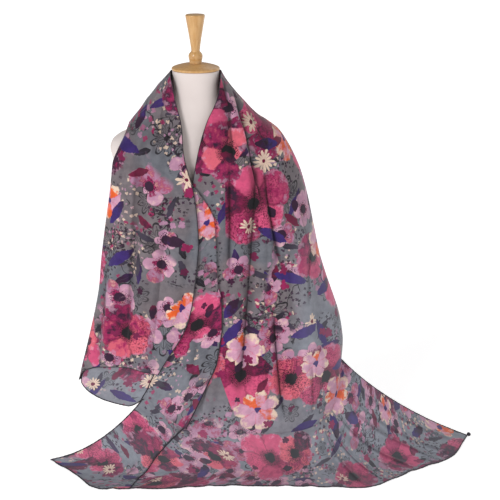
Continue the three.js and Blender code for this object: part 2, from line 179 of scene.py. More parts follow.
# length round the front from straight ahead to an angle, at one height
def roundLength(angle, z, foldY=0):
    total, last = np.zeros_like(z), None
    for step in np.linspace(0, 1, cloth["lengthSteps"]):
        side, depth = roundShares(angle * step)
        x = side * np.where(angle < 0, reach(z, "left"), reach(z, "right"))
        y = foldY + (-reach(z, "front") - foldY) * depth
        if last is not None:
            total += np.hypot(x - last[0], y - last[1])
        last = (x, y)
    return np.sign(angle) * total


# a place along the cloth: its first row's, less the length down the grid to each point
def lengthDown(points, start):
    steps = np.linalg.norm(np.diff(points, axis=0), axis=-1)
    return start - np.concatenate([np.zeros_like(start[:1]), np.cumsum(steps, 0)])


# right fall
rightFall = {
    "across": 300, "down": 158, "dipFrom": 0.35,
    "sheer": {"side": 0.75, "x": (190, 250), "z": (480, 620), "foot": 0.6, "footZ": (230, 90)},
    "edge": {"z": [862, 848, 819, 799, 771, 741, 698, 647, 540, 430, 334, 250, 200],
             "x": [54, 53, 48, 41, 27, 16, 5, -4, -22, -44, -66, -83, -91]},
    "foot": {"share": [0, 0.12, 0.3, 0.55, 0.78, 0.92, 1], "z": [203, 130, 82, 74, 96, 150, 206]},
    "folds": [
        (818, 680, 62, 100, 130, 12, 7, 0), (826, 570, 80, 122, 137, 10, -8, 0),
        (700, 430, 76, 79, 72, 10, -5, 0), (640, 170, 130, 118, 99, 11, -8, 0),
        (600, 120, 152, 141, 124, 16, 6, 0), (670, 440, 150, 165, 184, 10, -6, 0),
        (390, 110, 167, 180, 194, 11, -8, 0), (560, 210, 208, 232, 256, 24, 8, 0),
        (480, 200, 246, 270, 290, 16, -5, 0), (420, 90, 84, 84, 78, 12, 5, 0),
    ],
    "creases": [
        (822, 600, 80, 124, 136, 5, -4, -0.4), (812, 700, 58, 100, 130, 5, 3, 0),
        (790, 690, 100, 124, 150, 5, 2.5, 0), (600, 220, 131, 118, 101, 4, -5, 0.5),
        (655, 450, 74, 79, 72, 4, -3.5, -0.3), (650, 455, 150, 164, 184, 4.5, -4, -0.4),
        (350, 120, 171, 180, 194, 4, -4, 0.4), (700, 560, 172, 198, 214, 8, -3, 0),
        (748, 640, 132, 164, 194, 8, 3, 0), (560, 330, 152, 151, 146, 6, -2.5, 0),
        (520, 300, 196, 205, 222, 9, -3.5, 0), (470, 220, 66, 62, 52, 7, 2.5, 0),
        (340, 110, 228, 238, 256, 7, 3, 0), (300, 95, 142, 144, 152, 6, 3, 0),
        (280, 90, 58, 50, 28, 9, -3, 0), (610, 500, 100, 104, 103, 6, 2.5, 0),
        (420, 250, 280, 292, 302, 7, 2.5, 0), (250, 90, 10, 0, -20, 10, 3.5, 0),
        (230, 100, 206, 214, 226, 6, -2.5, 0),
    ],
    "laps": [
        (700, 190, 134, 121, 97, 26, 6, 4.5, 1, 0.95), (700, 440, 73, 80, 72, 20, 4.5, 3.5, 1, 0.8),
        (690, 450, 142, 161, 188, 22, 5, 4, 1, 0.85), (380, 95, 169, 180, 196, 24, 5, 4, 1, 0.9),
        (835, 590, 72, 120, 140, 14, 5, 7, -1, 0.9), (858, 680, 59, 76, 84, 12, 4, 13, 1, 0.95),
        (835, 700, 84, 118, 156, 12, 3.5, 5, -1, 0.6), (480, 360, 246, 244, 240, 18, 3.5, 3.5, 1, 0.8),
        (230, 105, 254, 255, 257, 18, 4, 3.5, 1, 0.8), (640, 500, 205, 224, 236, 18, 3, 6, -1, 0.5),
        (330, 100, 40, 30, 2, 26, 3, 7, 1, 0.45),
    ],
}


def rightFallPoint(across, down):
    foot = rightFall["foot"]
    footZ = along(foot, "share", across, "z")
    innerZ = between(cloth["top"], foot["z"][0], down)
    sideZ = between(cloth["rightShoulder"], foot["z"][-1], down)
    level = between(foot["z"][0], foot["z"][-1], across)
    dip = (level - footZ) * ease(down, rightFall["dipFrom"], 1)
    angle = between(angleAt(innerZ, along(rightFall["edge"], "z", innerZ, "x")), quarter, across)
    z = between(innerZ, sideZ, across) - dip
    points, shade = frontPoint(angle, z, 0, rightFall, 0)
    return points, roundLength(angle, z), z, shade


# left fall: the scarf's end folded lengthwise, the front layer over the under layer
leftFall = {
    "layer": 140, "turn": 8, "down": 160, "shift": (3.13, 1.71), "turnFrom": 0.1, "darkFrom": 395,
    "sheer": {"z": (250, 205), "strip": 0.35, "rest": 0.7, "edge": 0.004},
    "overlap": {"fromX": -150, "toX": -95, "fromZ": 770, "toZ": 665},
    "frontEdge": {"z": [862, 836, 810, 771, 750, 711, 669, 642, 609, 566, 519, 475, 430, 371, 323, 260, 215],
                  "x": [-54, -47, -42, -31, -27, -23, -13, -5, 1, 5, 7, 4, -1, -10, -25, -61, -86]},
    "underEdge": {"z": [862, 771, 711, 650, 620, 566, 500, 430, 389, 334, 285, 248, 215, 174, 120],
                  "x": [-56, -36, -27, -8, 14, 40, 44, 46, 55, 55, 49, 43, 32, 18, -6]},
    "frontHem": {"share": [0, 0.25, 0.5, 0.7, 0.8, 0.9, 1], "z": [224, 234, 229, 218, 210, 197, 178]},
    "underHem": {"share": [0, 0.3, 0.5, 0.7, 0.85, 1], "z": [142, 141, 149, 163, 174, 180]},
    "strip": {"width": 0.307, "trainInner": 0.15, "trainOut": 0.13, "from": 0.84, "lift": 1.6,
              "lineLift": 0.8, "fade": (0.9, 1.15),
              "edge": {"down": [0.74, 0.812, 0.85, 0.881, 0.925, 0.988, 1],
                       "share": [0.14, 0.186, 0.221, 0.243, 0.271, 0.303, 0.307]}},
    "folds": [
        (770, 300, -66, -88, -122, 20, 9, 0), (720, 240, -104, -130, -166, 16, -5, 0),
        (640, 200, -136, -168, -206, 18, 8, 0), (620, 230, -24, -26, -82, 14, 8, 0),
    ],
    "creases": [
        (846, 640, -54, -62, -74, 7, 2.5, 0), (800, 600, -92, -106, -114, 8, -2.5, 0),
        (720, 500, -44, -50, -56, 9, 2, 0), (600, 320, -8, -12, -44, 6, -2.5, 0.3),
        (560, 330, -152, -166, -192, 7, 2.5, 0), (520, 290, -78, -94, -112, 7, -4, 0),
        (440, 220, -196, -206, -220, 8, -3, 0), (400, 222, -132, -142, -152, 8, 4.5, 0),
        (690, 560, -128, -140, -146, 9, 4, 0), (640, 420, -40, -62, -70, 8, -3.5, 0),
        (500, 250, -172, -186, -196, 7, 3.5, 0), (330, 150, -10, -12, -30, 9, 3, 0),
        (300, 140, 24, 18, -2, 6, -2, 0),
    ],
    "laps": [
        (700, 360, -118, -134, -150, 30, 3, 12, -1, 0.5), (560, 235, -60, -72, -96, 26, 3, 10, 1, 0.5),
        (470, 230, -188, -198, -214, 16, 3, 7, 1, 0.65), (840, 700, -62, -72, -88, 14, 2.5, 7, -1, 0.45),
        (380, 150, 6, 4, -22, 16, 3.5, 5, 1, 0.6),
    ],
}


def layerLift(x, z, under):
    o = leftFall["overlap"]
    overlap = ease(x, o["fromX"], o["toX"]) * ease(z, o["fromZ"], o["toZ"])
    return cloth["layerStep"] * (2 * overlap - (1 if under else 0))


def leftLayerPoint(share, down, under):
    edge = leftFall["underEdge" if under else "frontEdge"]
    hem = along(leftFall["underHem" if under else "frontHem"], "share", share, "z")
    topZ = between(cloth["underTop"] if under else cloth["top"], cloth["leftShoulder"], share)
    z = between(topZ, hem, down)
    angle = between(angleAt(z, along(edge, "z", z, "x")), -quarter, share)
    x = reach(z, "left") * np.sin(angle)
    foldY = reach(z, "foldY")
    points, shade = frontPoint(angle, z, foldY, leftFall, layerLift(x, z, under))
    return points, roundLength(angle, z, foldY), shade


# the fall's inner strip runs out over the train: its lowest rows bend down on to it
def runOut(under, share, down):
    strip = leftFall["strip"]
    reachIn = np.clip(share / strip["width"], 0, 1)
    onTrain = trainPoint(between(strip["trainInner"], 0, reachIn[:2]),
                         np.array([[0.0], [strip["trainOut"]]]))[0][1]
    onTrain = onTrain + np.array([0, -strip["lift"], strip["lift"]])
    fade = [part * strip["width"] for part in strip["fade"]]
    weight = ease(down, strip["from"], 1) * (1 - ease(share, *fade))
    return under + (onTrain - under[-1])[None] * weight[..., None]


def leftFallPoint():
    shares = np.linspace(0, 1, leftFall["layer"] + 1)
    downs = np.linspace(0, 1, leftFall["down"] + 1)
    share, down = np.meshgrid(shares, downs)
    front, frontU, frontShade = leftLayerPoint(share, down, False)
    under, underU, underShade = leftLayerPoint(share, down, True)
    under = runOut(under, share, down)
    start, end = front[:, -1], under[:, -1]
    middle = (start + end) / 2
    bulge = np.linalg.norm(start - end, axis=-1) / 2 * ease(downs, 0, leftFall["turnFrom"])
    turned, turnedU = [], []
    for i in range(1, leftFall["turn"]):
        turn = i / leftFall["turn"] * math.pi
        point = (start - middle) * math.cos(turn) + middle
        point[:, 1] += bulge * math.sin(turn)
        turned.append(point)
        turnedU.append(frontU[:, -1] - bulge * turn)
    underRow = 2 * frontU[:, -1:] - bulge[:, None] * math.pi - underU + (underU[:, -1:] - frontU[:, -1:])
    points = np.concatenate([front, np.stack(turned, 1), under[:, ::-1]], 1)[:, ::-1]
    acrossCloth = np.concatenate([frontU, np.stack(turnedU, 1), underRow[:, ::-1]], 1)[:, ::-1]
    shade = np.concatenate([frontShade, np.zeros((len(downs), len(turned))), underShade[:, ::-1]], 1)[:, ::-1]
    return points, acrossCloth, points[..., 2], shade


# back stretch, from the left shoulder round to the right fall's side
backStretch = {
    "across": 200, "down": 206, "girth": 720, "leaves": (0.35, 0.9), "seamFrom": 0.25, "sheer": 0.35,
    "hem": {"share": [0, 0.14, 0.2, 0.27, 0.35, 0.43, 0.5, 0.6, 0.7, 0.85, 1],
            "z": [752, 747, 735, 700, 640, 565, 505, 430, 365, 275, 206]},
    "swag": {"count": 3.5, "rise": 8, "drop": 0.16, "from": (0.02, 0.3)},
    "creaseFrom": (0.02, 0.12), "creaseShade": 0.5,
    "creases": [
        (0.16, 0.22, 0.018, 3), (0.33, 0.3, 0.022, -3), (0.47, 0.2, 0.016, 3), (0.62, 0.26, 0.02, -2.5),
        (0.78, 0.18, 0.018, 3), (0.9, 0.2, 0.015, 2),
    ],
}


def backPoint(across, down):
    z = between(cloth["top"], along(backStretch["hem"], "share", across, "z"), down)
    angle = between(-quarter, quarter, across)
    side, depth = roundShares(angle)
    overLeft = np.where(angle < 0, 1 - ease(depth, *backStretch["leaves"]), 0)
    x = np.sign(angle) * between(reach(z, "right"), reach(z, "left"), overLeft) * side
    middle = np.sin(np.pi * across)
    swag = backStretch["swag"]
    out = swag["rise"] * middle * ease(down, *swag["from"]) * np.cos(
        2 * np.pi * swag["count"] * (down + swag["drop"] * middle))
    # painted shade in the swags' troughs and on the lower side of each crease
    shade = troughShade(out)
    for at, slope, width, rise in backStretch["creases"]:
        off = down + slope * middle * 0.5 - at
        bent = middle * ease(down, *backStretch["creaseFrom"]) * np.exp(-((off / width) ** 2))
        out += rise * bent
        shade += np.where(off > 0, bent, 0) * backStretch["creaseShade"]
    points = np.stack([x + np.sin(angle) * out,
                       reach(z, "back") * depth + np.cos(angle) * out + cloth["seam"] / 2, z], -1)
    full = roundLength(np.full_like(z, quarter), z)
    seamShift = (2 * full - backStretch["girth"]) * ease(angle, backStretch["seamFrom"] * quarter, quarter)
    acrossCloth = backStretch["girth"] - roundLength(angle, z) + seamShift
    return points, acrossCloth, lengthDown(points, z[:1]), np.clip(shade, 0, 1)


# train, spread on the surface
train = {
    "across": 380, "out": 110,
    "stations": {
        "share": [0, 0.1, 0.18, 0.3, 0.44, 0.58, 0.7, 0.82, 0.92, 1],
        "hemX": [-332, -266, -207, -88, 60, 212, 352, 480, 574, 624],
        "hemY": [-104, -178, -246, -245, -231, -233, -240, -156, -84, 26],
        "knee": [0.42, 0.3, 0.25, 0.18, 0.14, 0.14, 0.2, 0.25, 0.3, 0.32],
        "kneeZ": [40, 16, 5, 2, 2, 2, 2, 8, 34, 92],
    },
    "strip": {"out": [0, 0.09, 0.28, 0.43, 0.56, 0.755, 1],
              "share": [0.158, 0.146, 0.137, 0.142, 0.158, 0.189, 0.245], "from": 0.12, "lift": 1.4,
              "points": 14, "shade": 0.6, "shadeWidth": 0.012, "edge": 0.004, "fade": 0.6},
    "sheer": {"strip": 0.35, "stripTo": 0.6, "rest": (-0.4, 0.35)},
    "swell": (0.05, 0.4, 0.75, 0.98), "fine": (0.02, 0.3, 0.86, 1),
    "paintedRecessShade": {"width": 0.5, "shift": 0.8},
    "ripple": {"rise": 1.6, "from": 0.75, "waves": 95, "stray": 2, "strayWaves": 31},
    "spread": 0.9, "footShade": 0.3,
    "folds": [
        (0.1, 0.022, 7, 0), (0.25, 0.02, 5, 0), (0.39, 0.022, 6, 0), (0.53, 0.02, 7, 0),
        (0.66, 0.024, 7, 0), (0.78, 0.024, 6, 0), (0.88, 0.026, 7, 0),
    ],
    "creases": [
        (0.08, 0.008, 3, 0), (0.19, 0.009, 3, 0), (0.31, 0.01, 2.5, 0), (0.455, 0.008, 3, 0),
        (0.595, 0.01, 3, 0), (0.715, 0.008, 4.5, 0.55), (0.755, 0.006, 3.5, 0.7), (0.83, 0.009, 5, 0.6),
        (0.89, 0.007, 4, 0.5), (0.93, 0.01, 4, 0.4), (0.97, 0.008, 3, 0.4),
    ],
}


def trainPoint(across, out):
    foot, footU, footV, footShade = rightFallPoint(across, np.ones_like(across))
    station = lambda column: along(train["stations"], "share", across, column)
    hem = np.stack([station("hemX"), station("hemY"), np.full_like(across, cloth["thickness"] / 2)], -1)
    knee = between(foot, hem, station("knee")[..., None])
    knee[..., 2] = station("kneeZ")
    foot = foot - (knee - foot) / np.linalg.norm(knee - foot, axis=-1, keepdims=True) * cloth["tuck"]
    foot[..., :2] *= 1 - 2 * cloth["seam"] / np.linalg.norm(foot[..., :2], axis=-1, keepdims=True)
    o = out[..., None]
    points = foot * (1 - o) ** 2 + knee * 2 * o * (1 - o) + hem * o ** 2
    shade = np.zeros_like(across)
    paintedRecessShade, ripple = train["paintedRecessShade"], train["ripple"]
    for folds, span in ((train["folds"], train["swell"]), (train["creases"], train["fine"])):
        strength = within(out, span)
        for share, width, rise, dark in folds:
            off = (across - share) / width
            points[..., 2] += rise * strength * np.exp(-(off ** 2))
            # painted shade in the hollow on one side of each fold
            paintedHollowShade = np.exp(-((off / paintedRecessShade["width"] + paintedRecessShade["shift"]) ** 2))
            shade += dark * strength * np.where(off < 0, paintedHollowShade, 0)
    wave = np.sin(across * ripple["waves"] + ripple["stray"] * np.sin(across * ripple["strayWaves"]))
    rippled = ripple["rise"] * ease(out, ripple["from"], 1) * (1 + wave)
    points[..., 2] = np.maximum(points[..., 2] + rippled, cloth["thickness"] / 2)
    spread = ease(out, 0, train["spread"])
    hemSteps = np.hypot(np.diff(hem[0, :, 0]), np.diff(hem[0, :, 1]))
    hemU = np.concatenate([[0], np.cumsum(hemSteps)])
    hemU -= np.interp(0, hem[0, :, 0], hemU)
    acrossCloth = between(footU, hemU[None], spread)
    # painted shade along the train's foot, where it tucks under the right fall
    shade += footShade * (1 - ease(out, 0, train["footShade"]))
    return points, acrossCloth, lengthDown(points, footV), np.clip(shade, 0, 1)


# the train's left strip goes on with the left fall's print, mirrored, from where the fall's last row lies
def carryOn(place):
    strip, rows, columns = leftFall["strip"], train["out"], train["across"]
    row, column = round(strip["trainOut"] * rows), round(strip["trainInner"] * columns)
    own = (trainU[row, [0, column]] + 1j * trainV[row, [0, column]]) * mm
    ends = [round(strip["width"] * leftFall["layer"]), 0]
    fall = (leftU[-1, ends] + 1j * leftV[-1, ends]) * mm + complex(*leftFall["shift"])
    turn = (fall[1] - fall[0]) / np.conj(own[1] - own[0])
    return fall[0] + turn / abs(turn) * np.conj(place - own[0])


# cloth pieces from their grids
def makeSheet(name, points, acrossCloth, alongCloth, sheer, shade, shift, otherSide=None):
    rows, columns = points.shape[:2]
    bpy.ops.mesh.primitive_grid_add(x_subdivisions=columns - 1, y_subdivisions=rows - 1, size=1,
                                    calc_uvs=True)
    piece = bpy.context.object
    piece.name = piece.data.name = name
    mesh = piece.data
    mesh.vertices.foreach_set("co", (points * mm).astype(np.float32).ravel())
    corners = np.empty(len(mesh.loops), np.int32)
    mesh.loops.foreach_get("vertex_index", corners)
    flat = np.stack([acrossCloth * mm + shift[0], alongCloth * mm + shift[1]], -1).reshape(-1, 2)
    flat = flat[corners]
    if otherSide is not None:
        face = otherSide.ravel()[corners].reshape(-1, 4).mean(1) > 0.5
        turned = carryOn(flat[:, 0] + 1j * flat[:, 1])
        flat = np.where(np.repeat(face, 4)[:, None], np.stack([turned.real, turned.imag], -1), flat)
    mesh.uv_layers.active.data.foreach_set("uv", flat.astype(np.float32).ravel())
    mesh.uv_layers.active.name = "UVMap"
    # each point keeps its painted see-through light and its painted shade for the material
    for label, values in (("sheer", sheer), ("paintedRecessShade", shade)):
        held = mesh.attributes.new(label, "FLOAT", "POINT")
        held.data.foreach_set("value", values.astype(np.float32).ravel())
    mesh.update()
    selectOnly(piece)
    wall = piece.modifiers.new("wall", "SOLIDIFY")
    wall.thickness = cloth["thickness"] * mm
    wall.offset = 0
    bpy.ops.object.modifier_apply(modifier="wall")
    bpy.ops.object.shade_smooth()
    print("cloth piece made:", name, len(piece.data.polygons))
    return piece


# the cloth above a fall's first row, back to the ridge of the shoulder where the back stretch begins
shoulder = {"rows": 60, "columns": 18, "end": 0.99}


def rightShoulderAt(share, back):
    z = between(cloth["top"], cloth["rightShoulder"], share)
    first = between(angleAt(np.full_like(z, cloth["top"]), rightFall["edge"]["x"][0]), quarter, share)
    return between(first, quarter, back), z, 0, 0


def leftShoulderAt(share, back):
    z = between(cloth["top"], cloth["leftShoulder"], share)
    first = between(angleAt(z, along(leftFall["frontEdge"], "z", z, "x")), -quarter, share)
    angle = between(first, -quarter, back)
    return angle, z, reach(z, "foldY"), layerLift(reach(z, "left") * np.sin(angle), z, False)


def addShoulder(piece, fall, shoulderAt, shift):
    share, back = np.meshgrid(np.linspace(0, shoulder["end"], shoulder["rows"] + 1),
                              np.linspace(0, 1, shoulder["columns"] + 1), indexing="ij")
    angle, z, foldY, lift = shoulderAt(share, back)
    points, shade = frontPoint(angle, z, foldY, fall, lift)
    cap = makeSheet(piece.name + "Shoulder", points, roundLength(angle, z, foldY), z, np.zeros_like(z), shade,
                    shift)
    selectOnly(piece)
    cap.select_set(True)
    bpy.ops.object.join()
    return points[0]


# a dark rolled hem: round tubes along edges of the cloth, each with its weight at both ends
rolledHem = {"radius": 1.6, "clear": 1.2, "swell": (0.12, 1.7), "waver": (0.08, 0.61), "points": 60}


def makeHem(name, edges):
    data = bpy.data.curves.new(name, "CURVE")
    data.dimensions = "3D"
    data.bevel_depth = rolledHem["radius"] * mm
    data.bevel_resolution = 1
    data.use_fill_caps = True
    (swell, swellRate), (waver, waverRate) = rolledHem["swell"], rolledHem["waver"]
    for edge, first, last in edges:
        line = data.splines.new("POLY")
        line.points.add(len(edge) - 1)
        for i, point in enumerate(edge):
            weight = between(first, last, i / (len(edge) - 1))
            low = max(point[2], rolledHem["radius"] * weight * rolledHem["clear"])
            line.points[i].co = (point[0] * mm, point[1] * mm, low * mm, 1)
            uneven = 1 + swell * math.sin(i * swellRate) + waver * math.sin(i * waverRate)
            line.points[i].radius = weight * uneven
    hem = bpy.data.objects.new(name, data)
    bpy.context.collection.objects.link(hem)
    selectOnly(hem)
    bpy.ops.object.convert(target="MESH")
    hem = bpy.context.object
    bpy.ops.object.shade_smooth()
    return hem


# points picked off a grid of cloth at (share across, share down) places, raised clear of it
def lineOn(points, across, down, lift):
    rows, columns = points.shape[:2]
    fine = np.linspace(0, 1, rolledHem["points"])
    place = np.linspace(0, 1, len(across))
    i = np.interp(fine, place, down) * (rows - 1)
    j = np.interp(fine, place, across) * (columns - 1)
    i0, j0 = np.minimum(i.astype(int), rows - 2), np.minimum(j.astype(int), columns - 2)
    fi, fj = (i - i0)[:, None], (j - j0)[:, None]
    top = between(points[i0, j0], points[i0, j0 + 1], fj)
    low = between(points[i0 + 1, j0], points[i0 + 1, j0 + 1], fj)
    return between(top, low, fi) + np.array([0, -lift, lift])


def gridOf(across, down):
    return np.meshgrid(np.linspace(0, 1, across + 1), np.linspace(0, 1, down + 1))


u, v = gridOf(rightFall["across"], rightFall["down"])
rightPoints, rightU, rightV, rightShade = rightFallPoint(u, v)
# painted light: the pale ground painted showing through the right fall's outer side low down and along its
# foot
sheer = rightFall["sheer"]
inward, above = ease(rightPoints[..., 0], *sheer["x"]), ease(rightPoints[..., 2], *sheer["z"])
rightSheerLight = sheer["side"] * inward * (1 - above)
rightSheerLight = np.maximum(rightSheerLight, sheer["foot"] * ease(rightPoints[..., 2], *sheer["footZ"]))
rightPiece = makeSheet("scarfRightFall", rightPoints, rightU, rightV, rightSheerLight, rightShade, (0.0, 0.0))

leftPoints, leftU, leftV, leftShade = leftFallPoint()
layer, strip = leftFall["layer"] + 1, leftFall["strip"]
u, v = gridOf(leftFall["layer"], leftFall["down"])
# painted light through the under layer, low down below the front hem, less within the inner strip
sheer = leftFall["sheer"]
outsideStrip = ease(u - along(strip["edge"], "down", v, "share"), -sheer["edge"], sheer["edge"])
leftSheerLight = np.zeros(leftPoints.shape[:2])
single = between(sheer["strip"], sheer["rest"], outsideStrip)
leftSheerLight[:, :layer] = ease(leftPoints[:, :layer, 2], *sheer["z"]) * single
leftPiece = makeSheet("scarfLeftFall", leftPoints, leftU, leftV, leftSheerLight, leftShade, leftFall["shift"])

u, v = gridOf(backStretch["across"], backStretch["down"])
backPoints, backU, backV, backShade = backPoint(1 - u, v)
# painted light: the back stretch is lit through evenly, at a low share
backPiece = makeSheet("scarfBack", backPoints, backU, backV, np.full(u.shape, backStretch["sheer"]),
                      backShade, (0.0, 0.0))

u, v = gridOf(train["across"], train["out"])
trainPoints, trainU, trainV, trainShade = trainPoint(u, v)
# painted light through the train: across the strip it grows outwards, elsewhere it grows from the foot out to
# the hem
trainStrip, sheer = train["strip"], train["sheer"]
stripEdge = along(trainStrip, "out", v, "share")
# painted shade on the train beside the strip's edge, fading away from the edge and out towards the hem
past = u > stripEdge - trainStrip["edge"]
paintedHollowShade = past * np.exp(-np.maximum(u - stripEdge, 0) / trainStrip["shadeWidth"])
trainShade = np.maximum(trainShade, trainStrip["shade"] * paintedHollowShade * (1 - trainStrip["fade"] * v))
stripSheerLight = between(sheer["strip"], 1, ease(v, trainStrip["from"], sheer["stripTo"]))
trainSheerLight = np.where(u < stripEdge, stripSheerLight, ease(v, *sheer["rest"]))
trainPiece = makeSheet("scarfTrain", trainPoints, trainU, trainV, trainSheerLight, trainShade, (0.0, 0.0),
                       u < stripEdge)

rightTop = addShoulder(rightPiece, rightFall, rightShoulderAt, (0.0, 0.0))
leftTop = addShoulder(leftPiece, leftFall, leftShoulderAt, leftFall["shift"])
darkFrom = int(np.argmax(leftPoints[:, 0, 2] < leftFall["darkFrom"]))
cornerAt = int(strip["width"] * leftFall["layer"])
stripLine = lineOn(leftPoints[:, :layer], strip["edge"]["share"], strip["edge"]["down"], strip["lineLift"])
shown = np.linspace(trainStrip["from"], 1, trainStrip["points"])
trainLine = lineOn(trainPoints, along(trainStrip, "out", shown, "share"), shown, trainStrip["lift"])
turnEnd = layer + leftFall["turn"]
rightHem = makeHem("rightFallHem", [(rightPoints[:, 0], 0.5, 0.4), (rightTop, 0.5, 0.5)])
leftHem = makeHem("leftFallHem", [
    (leftPoints[:, -1], 0.5, 0.7), (leftPoints[-1, cornerAt:layer], 0.8, 1),
    (leftPoints[-1, turnEnd:], 0.7, 0.5), (leftPoints[darkFrom:, 0], 0.7, 0.9),
    (stripLine, 0.5, 0.8), (leftTop, 0.5, 0.5)])
backHem = makeHem("backHem", [(backPoints[0], 0.5, 0.5), (backPoints[-1], 0.7, 0.7)])
trainHem = makeHem("trainHem", [
    (trainPoints[:, 0], 0.8, 1.05), (trainPoints[-1], 0.9, 0.8), (trainPoints[::-1, -1], 0.9, 0.6),
    (trainLine, 0.85, 0.4)])
print("hems rolled")


# dress form: sections placed round a grid, closed over neck and foot
dressForm = {
    "around": 120, "up": 130, "merge": 0.00001, "crease": 50,
    "sections": {
        "z":     [866, 843, 818, 798, 782, 765, 750, 738, 727, 715, 700, 680, 640, 575, 480, 400, 340, 260,
                  180, 128, 112],
        "half":  [50, 50, 55, 66, 84, 104, 126, 146, 168, 182, 187, 183, 168, 154, 136, 126, 124, 142, 160,
                  158, 150],
        "front": [49, 48, 49, 52, 56, 62, 68, 73, 78, 84, 91, 98, 106, 112, 100, 88, 84, 94, 100, 98, 91],
        "back":  [49, 48, 48, 50, 53, 58, 63, 67, 71, 75, 80, 86, 93, 94, 85, 81, 84, 101, 108, 106, 99],
    },
}


def makeDressForm():
    around, up = dressForm["around"], dressForm["up"]
    table = dressForm["sections"]
    bpy.ops.mesh.primitive_grid_add(x_subdivisions=around, y_subdivisions=up, size=1, calc_uvs=True)
    piece = bpy.context.object
    piece.name = piece.data.name = "dressFormBody"
    order = np.linspace(len(table["z"]) - 1, 0, up + 1)
    z = np.interp(order, np.arange(len(table["z"])), table["z"])
    turn, height = np.meshgrid(np.linspace(0, 2 * np.pi, around + 1), z)
    side, depth = roundShares(turn)
    x = np.sign(np.sin(turn)) * side * along(table, "z", height, "half")
    ahead = np.cos(turn) < 0
    y = np.sign(np.cos(turn)) * depth * np.where(
        ahead, along(table, "z", height, "front"), along(table, "z", height, "back"))
    points = np.stack([x, y, height], -1) * mm
    piece.data.vertices.foreach_set("co", points.astype(np.float32).ravel())
    selectOnly(piece)
    bpy.ops.object.mode_set(mode="EDIT")
    bpy.ops.mesh.select_all(action="SELECT")
    bpy.ops.mesh.remove_doubles(threshold=dressForm["merge"])
    bpy.ops.mesh.select_all(action="DESELECT")
    bpy.ops.mesh.select_non_manifold()
    bpy.ops.mesh.edge_face_add()
    bpy.ops.mesh.select_all(action="SELECT")
    bpy.ops.mesh.normals_make_consistent(inside=False)
    bpy.ops.object.mode_set(mode="OBJECT")
    bpy.ops.object.shade_smooth_by_angle(angle=math.radians(dressForm["crease"]))
    return piece


formPiece = makeDressForm()
print("dress form made")


# turned beech: a disc, extruded and resized up its outline
turnedShapes = {
    "standBase": {"node": "stand_base", "crease": 40, "foot": 0, "sides": 96, "steps": 5,
                  "radius": [98, 101, 103.4, 104, 104, 102, 99, 70, 36, 32, 30, 29.5],
                  "up": [0, 0.2, 1, 3, 7, 9.6, 11, 13.2, 15, 16.2, 17.4, 18]},
    "standPole": {"node": "stand_pole", "crease": 40, "foot": 18.3, "sides": 64, "steps": 4,
                  "radius": [26, 26, 24, 18, 15, 15, 15, 18, 24, 26, 26],
                  "up": [0, 4, 7, 9, 12, 46.7, 81.4, 84.4, 86.4, 89.4, 93.4]},
    "neckCap": {"node": "neck_cap", "crease": 40, "foot": 866.3, "sides": 96, "steps": 5,
                "radius": [48, 49.5, 51, 51.5, 51.5, 51, 50, 44, 35.5, 26, 17, 16],
                "up": [0, 0.1, 0.7, 1.8, 3.8, 5, 5.9, 8.4, 10.8, 13, 13.9, 14]},
    "finialPeg": {"node": "finial", "crease": 40, "foot": 880.6, "sides": 64, "steps": 5,
                  "radius": [13.8, 13.4, 14.8, 15.2, 13.2, 9.2, 10.8, 16, 20.4, 20.8, 20.3, 19, 8, 1.5],
                  "up": [0, 5, 11, 15.5, 21, 26.5, 40, 72, 97, 100.6, 102.2, 103, 103.4, 103.5]},
}


def turnPiece(name):
    shape = turnedShapes[name]
    index = {"index": range(len(shape["up"])), "radius": shape["radius"], "up": shape["up"]}
    places = np.linspace(0, len(shape["up"]) - 1, (len(shape["up"]) - 1) * shape["steps"] + 1)
    radii = along(index, "index", places, "radius") * mm
    heights = (along(index, "index", places, "up") + shape["foot"]) * mm
    bpy.ops.mesh.primitive_circle_add(vertices=shape["sides"], radius=radii[0], fill_type="NGON",
                                      location=(0, 0, heights[0]))
    piece = bpy.context.object
    piece.name = piece.data.name = name
    bpy.ops.object.mode_set(mode="EDIT")
    bpy.ops.mesh.select_all(action="SELECT")
    for i in range(1, len(places)):
        rise = heights[i] - heights[i - 1]
        bpy.ops.mesh.extrude_region_move(TRANSFORM_OT_translate={"value": (0, 0, rise)})
        grow = radii[i] / radii[i - 1]
        bpy.ops.transform.resize(value=(grow, grow, 1), center_override=(0, 0, heights[i]))
    bpy.ops.mesh.select_all(action="SELECT")
    bpy.ops.mesh.normals_make_consistent(inside=False)
    bpy.ops.object.mode_set(mode="OBJECT")
    bpy.ops.object.transform_apply(location=True, rotation=True, scale=True)
    bpy.ops.object.shade_smooth_by_angle(angle=math.radians(shape["crease"]))
    return piece


turnedPieces = {name: turnPiece(name) for name in turnedShapes}
print("beech pieces turned")

# knot of hem thread at the train's right corner
cornerKnot = {"radius": 3.2, "thread": 1.6, "raise": 0.8, "segments": (28, 10),
              "tilts": [(20, 30), (75, -20), (110, 60)]}


def makeKnot():
    low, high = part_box("corner_knot")
    middle = (low + high) / 2
    middle[2] += cornerKnot["raise"] * mm
    around, across = cornerKnot["segments"]
    loops = []
    for tilt, turn in cornerKnot["tilts"]:
        bpy.ops.mesh.primitive_torus_add(
            major_radius=cornerKnot["radius"] * mm, minor_radius=cornerKnot["thread"] * mm,
            major_segments=around, minor_segments=across, location=middle,
            rotation=(math.radians(tilt), 0, math.radians(turn)))
        loops.append(bpy.context.object)
    selectOnly(loops[0])
    for loop in loops:
        loop.select_set(True)
    bpy.ops.object.join()
    knot = bpy.context.object
    bpy.ops.object.transform_apply(location=True, rotation=True, scale=True)
    knot.name = knot.data.name = "cornerKnot"
    bpy.ops.object.shade_smooth()
    return knot


knotPiece = makeKnot()
print("corner knot tied")


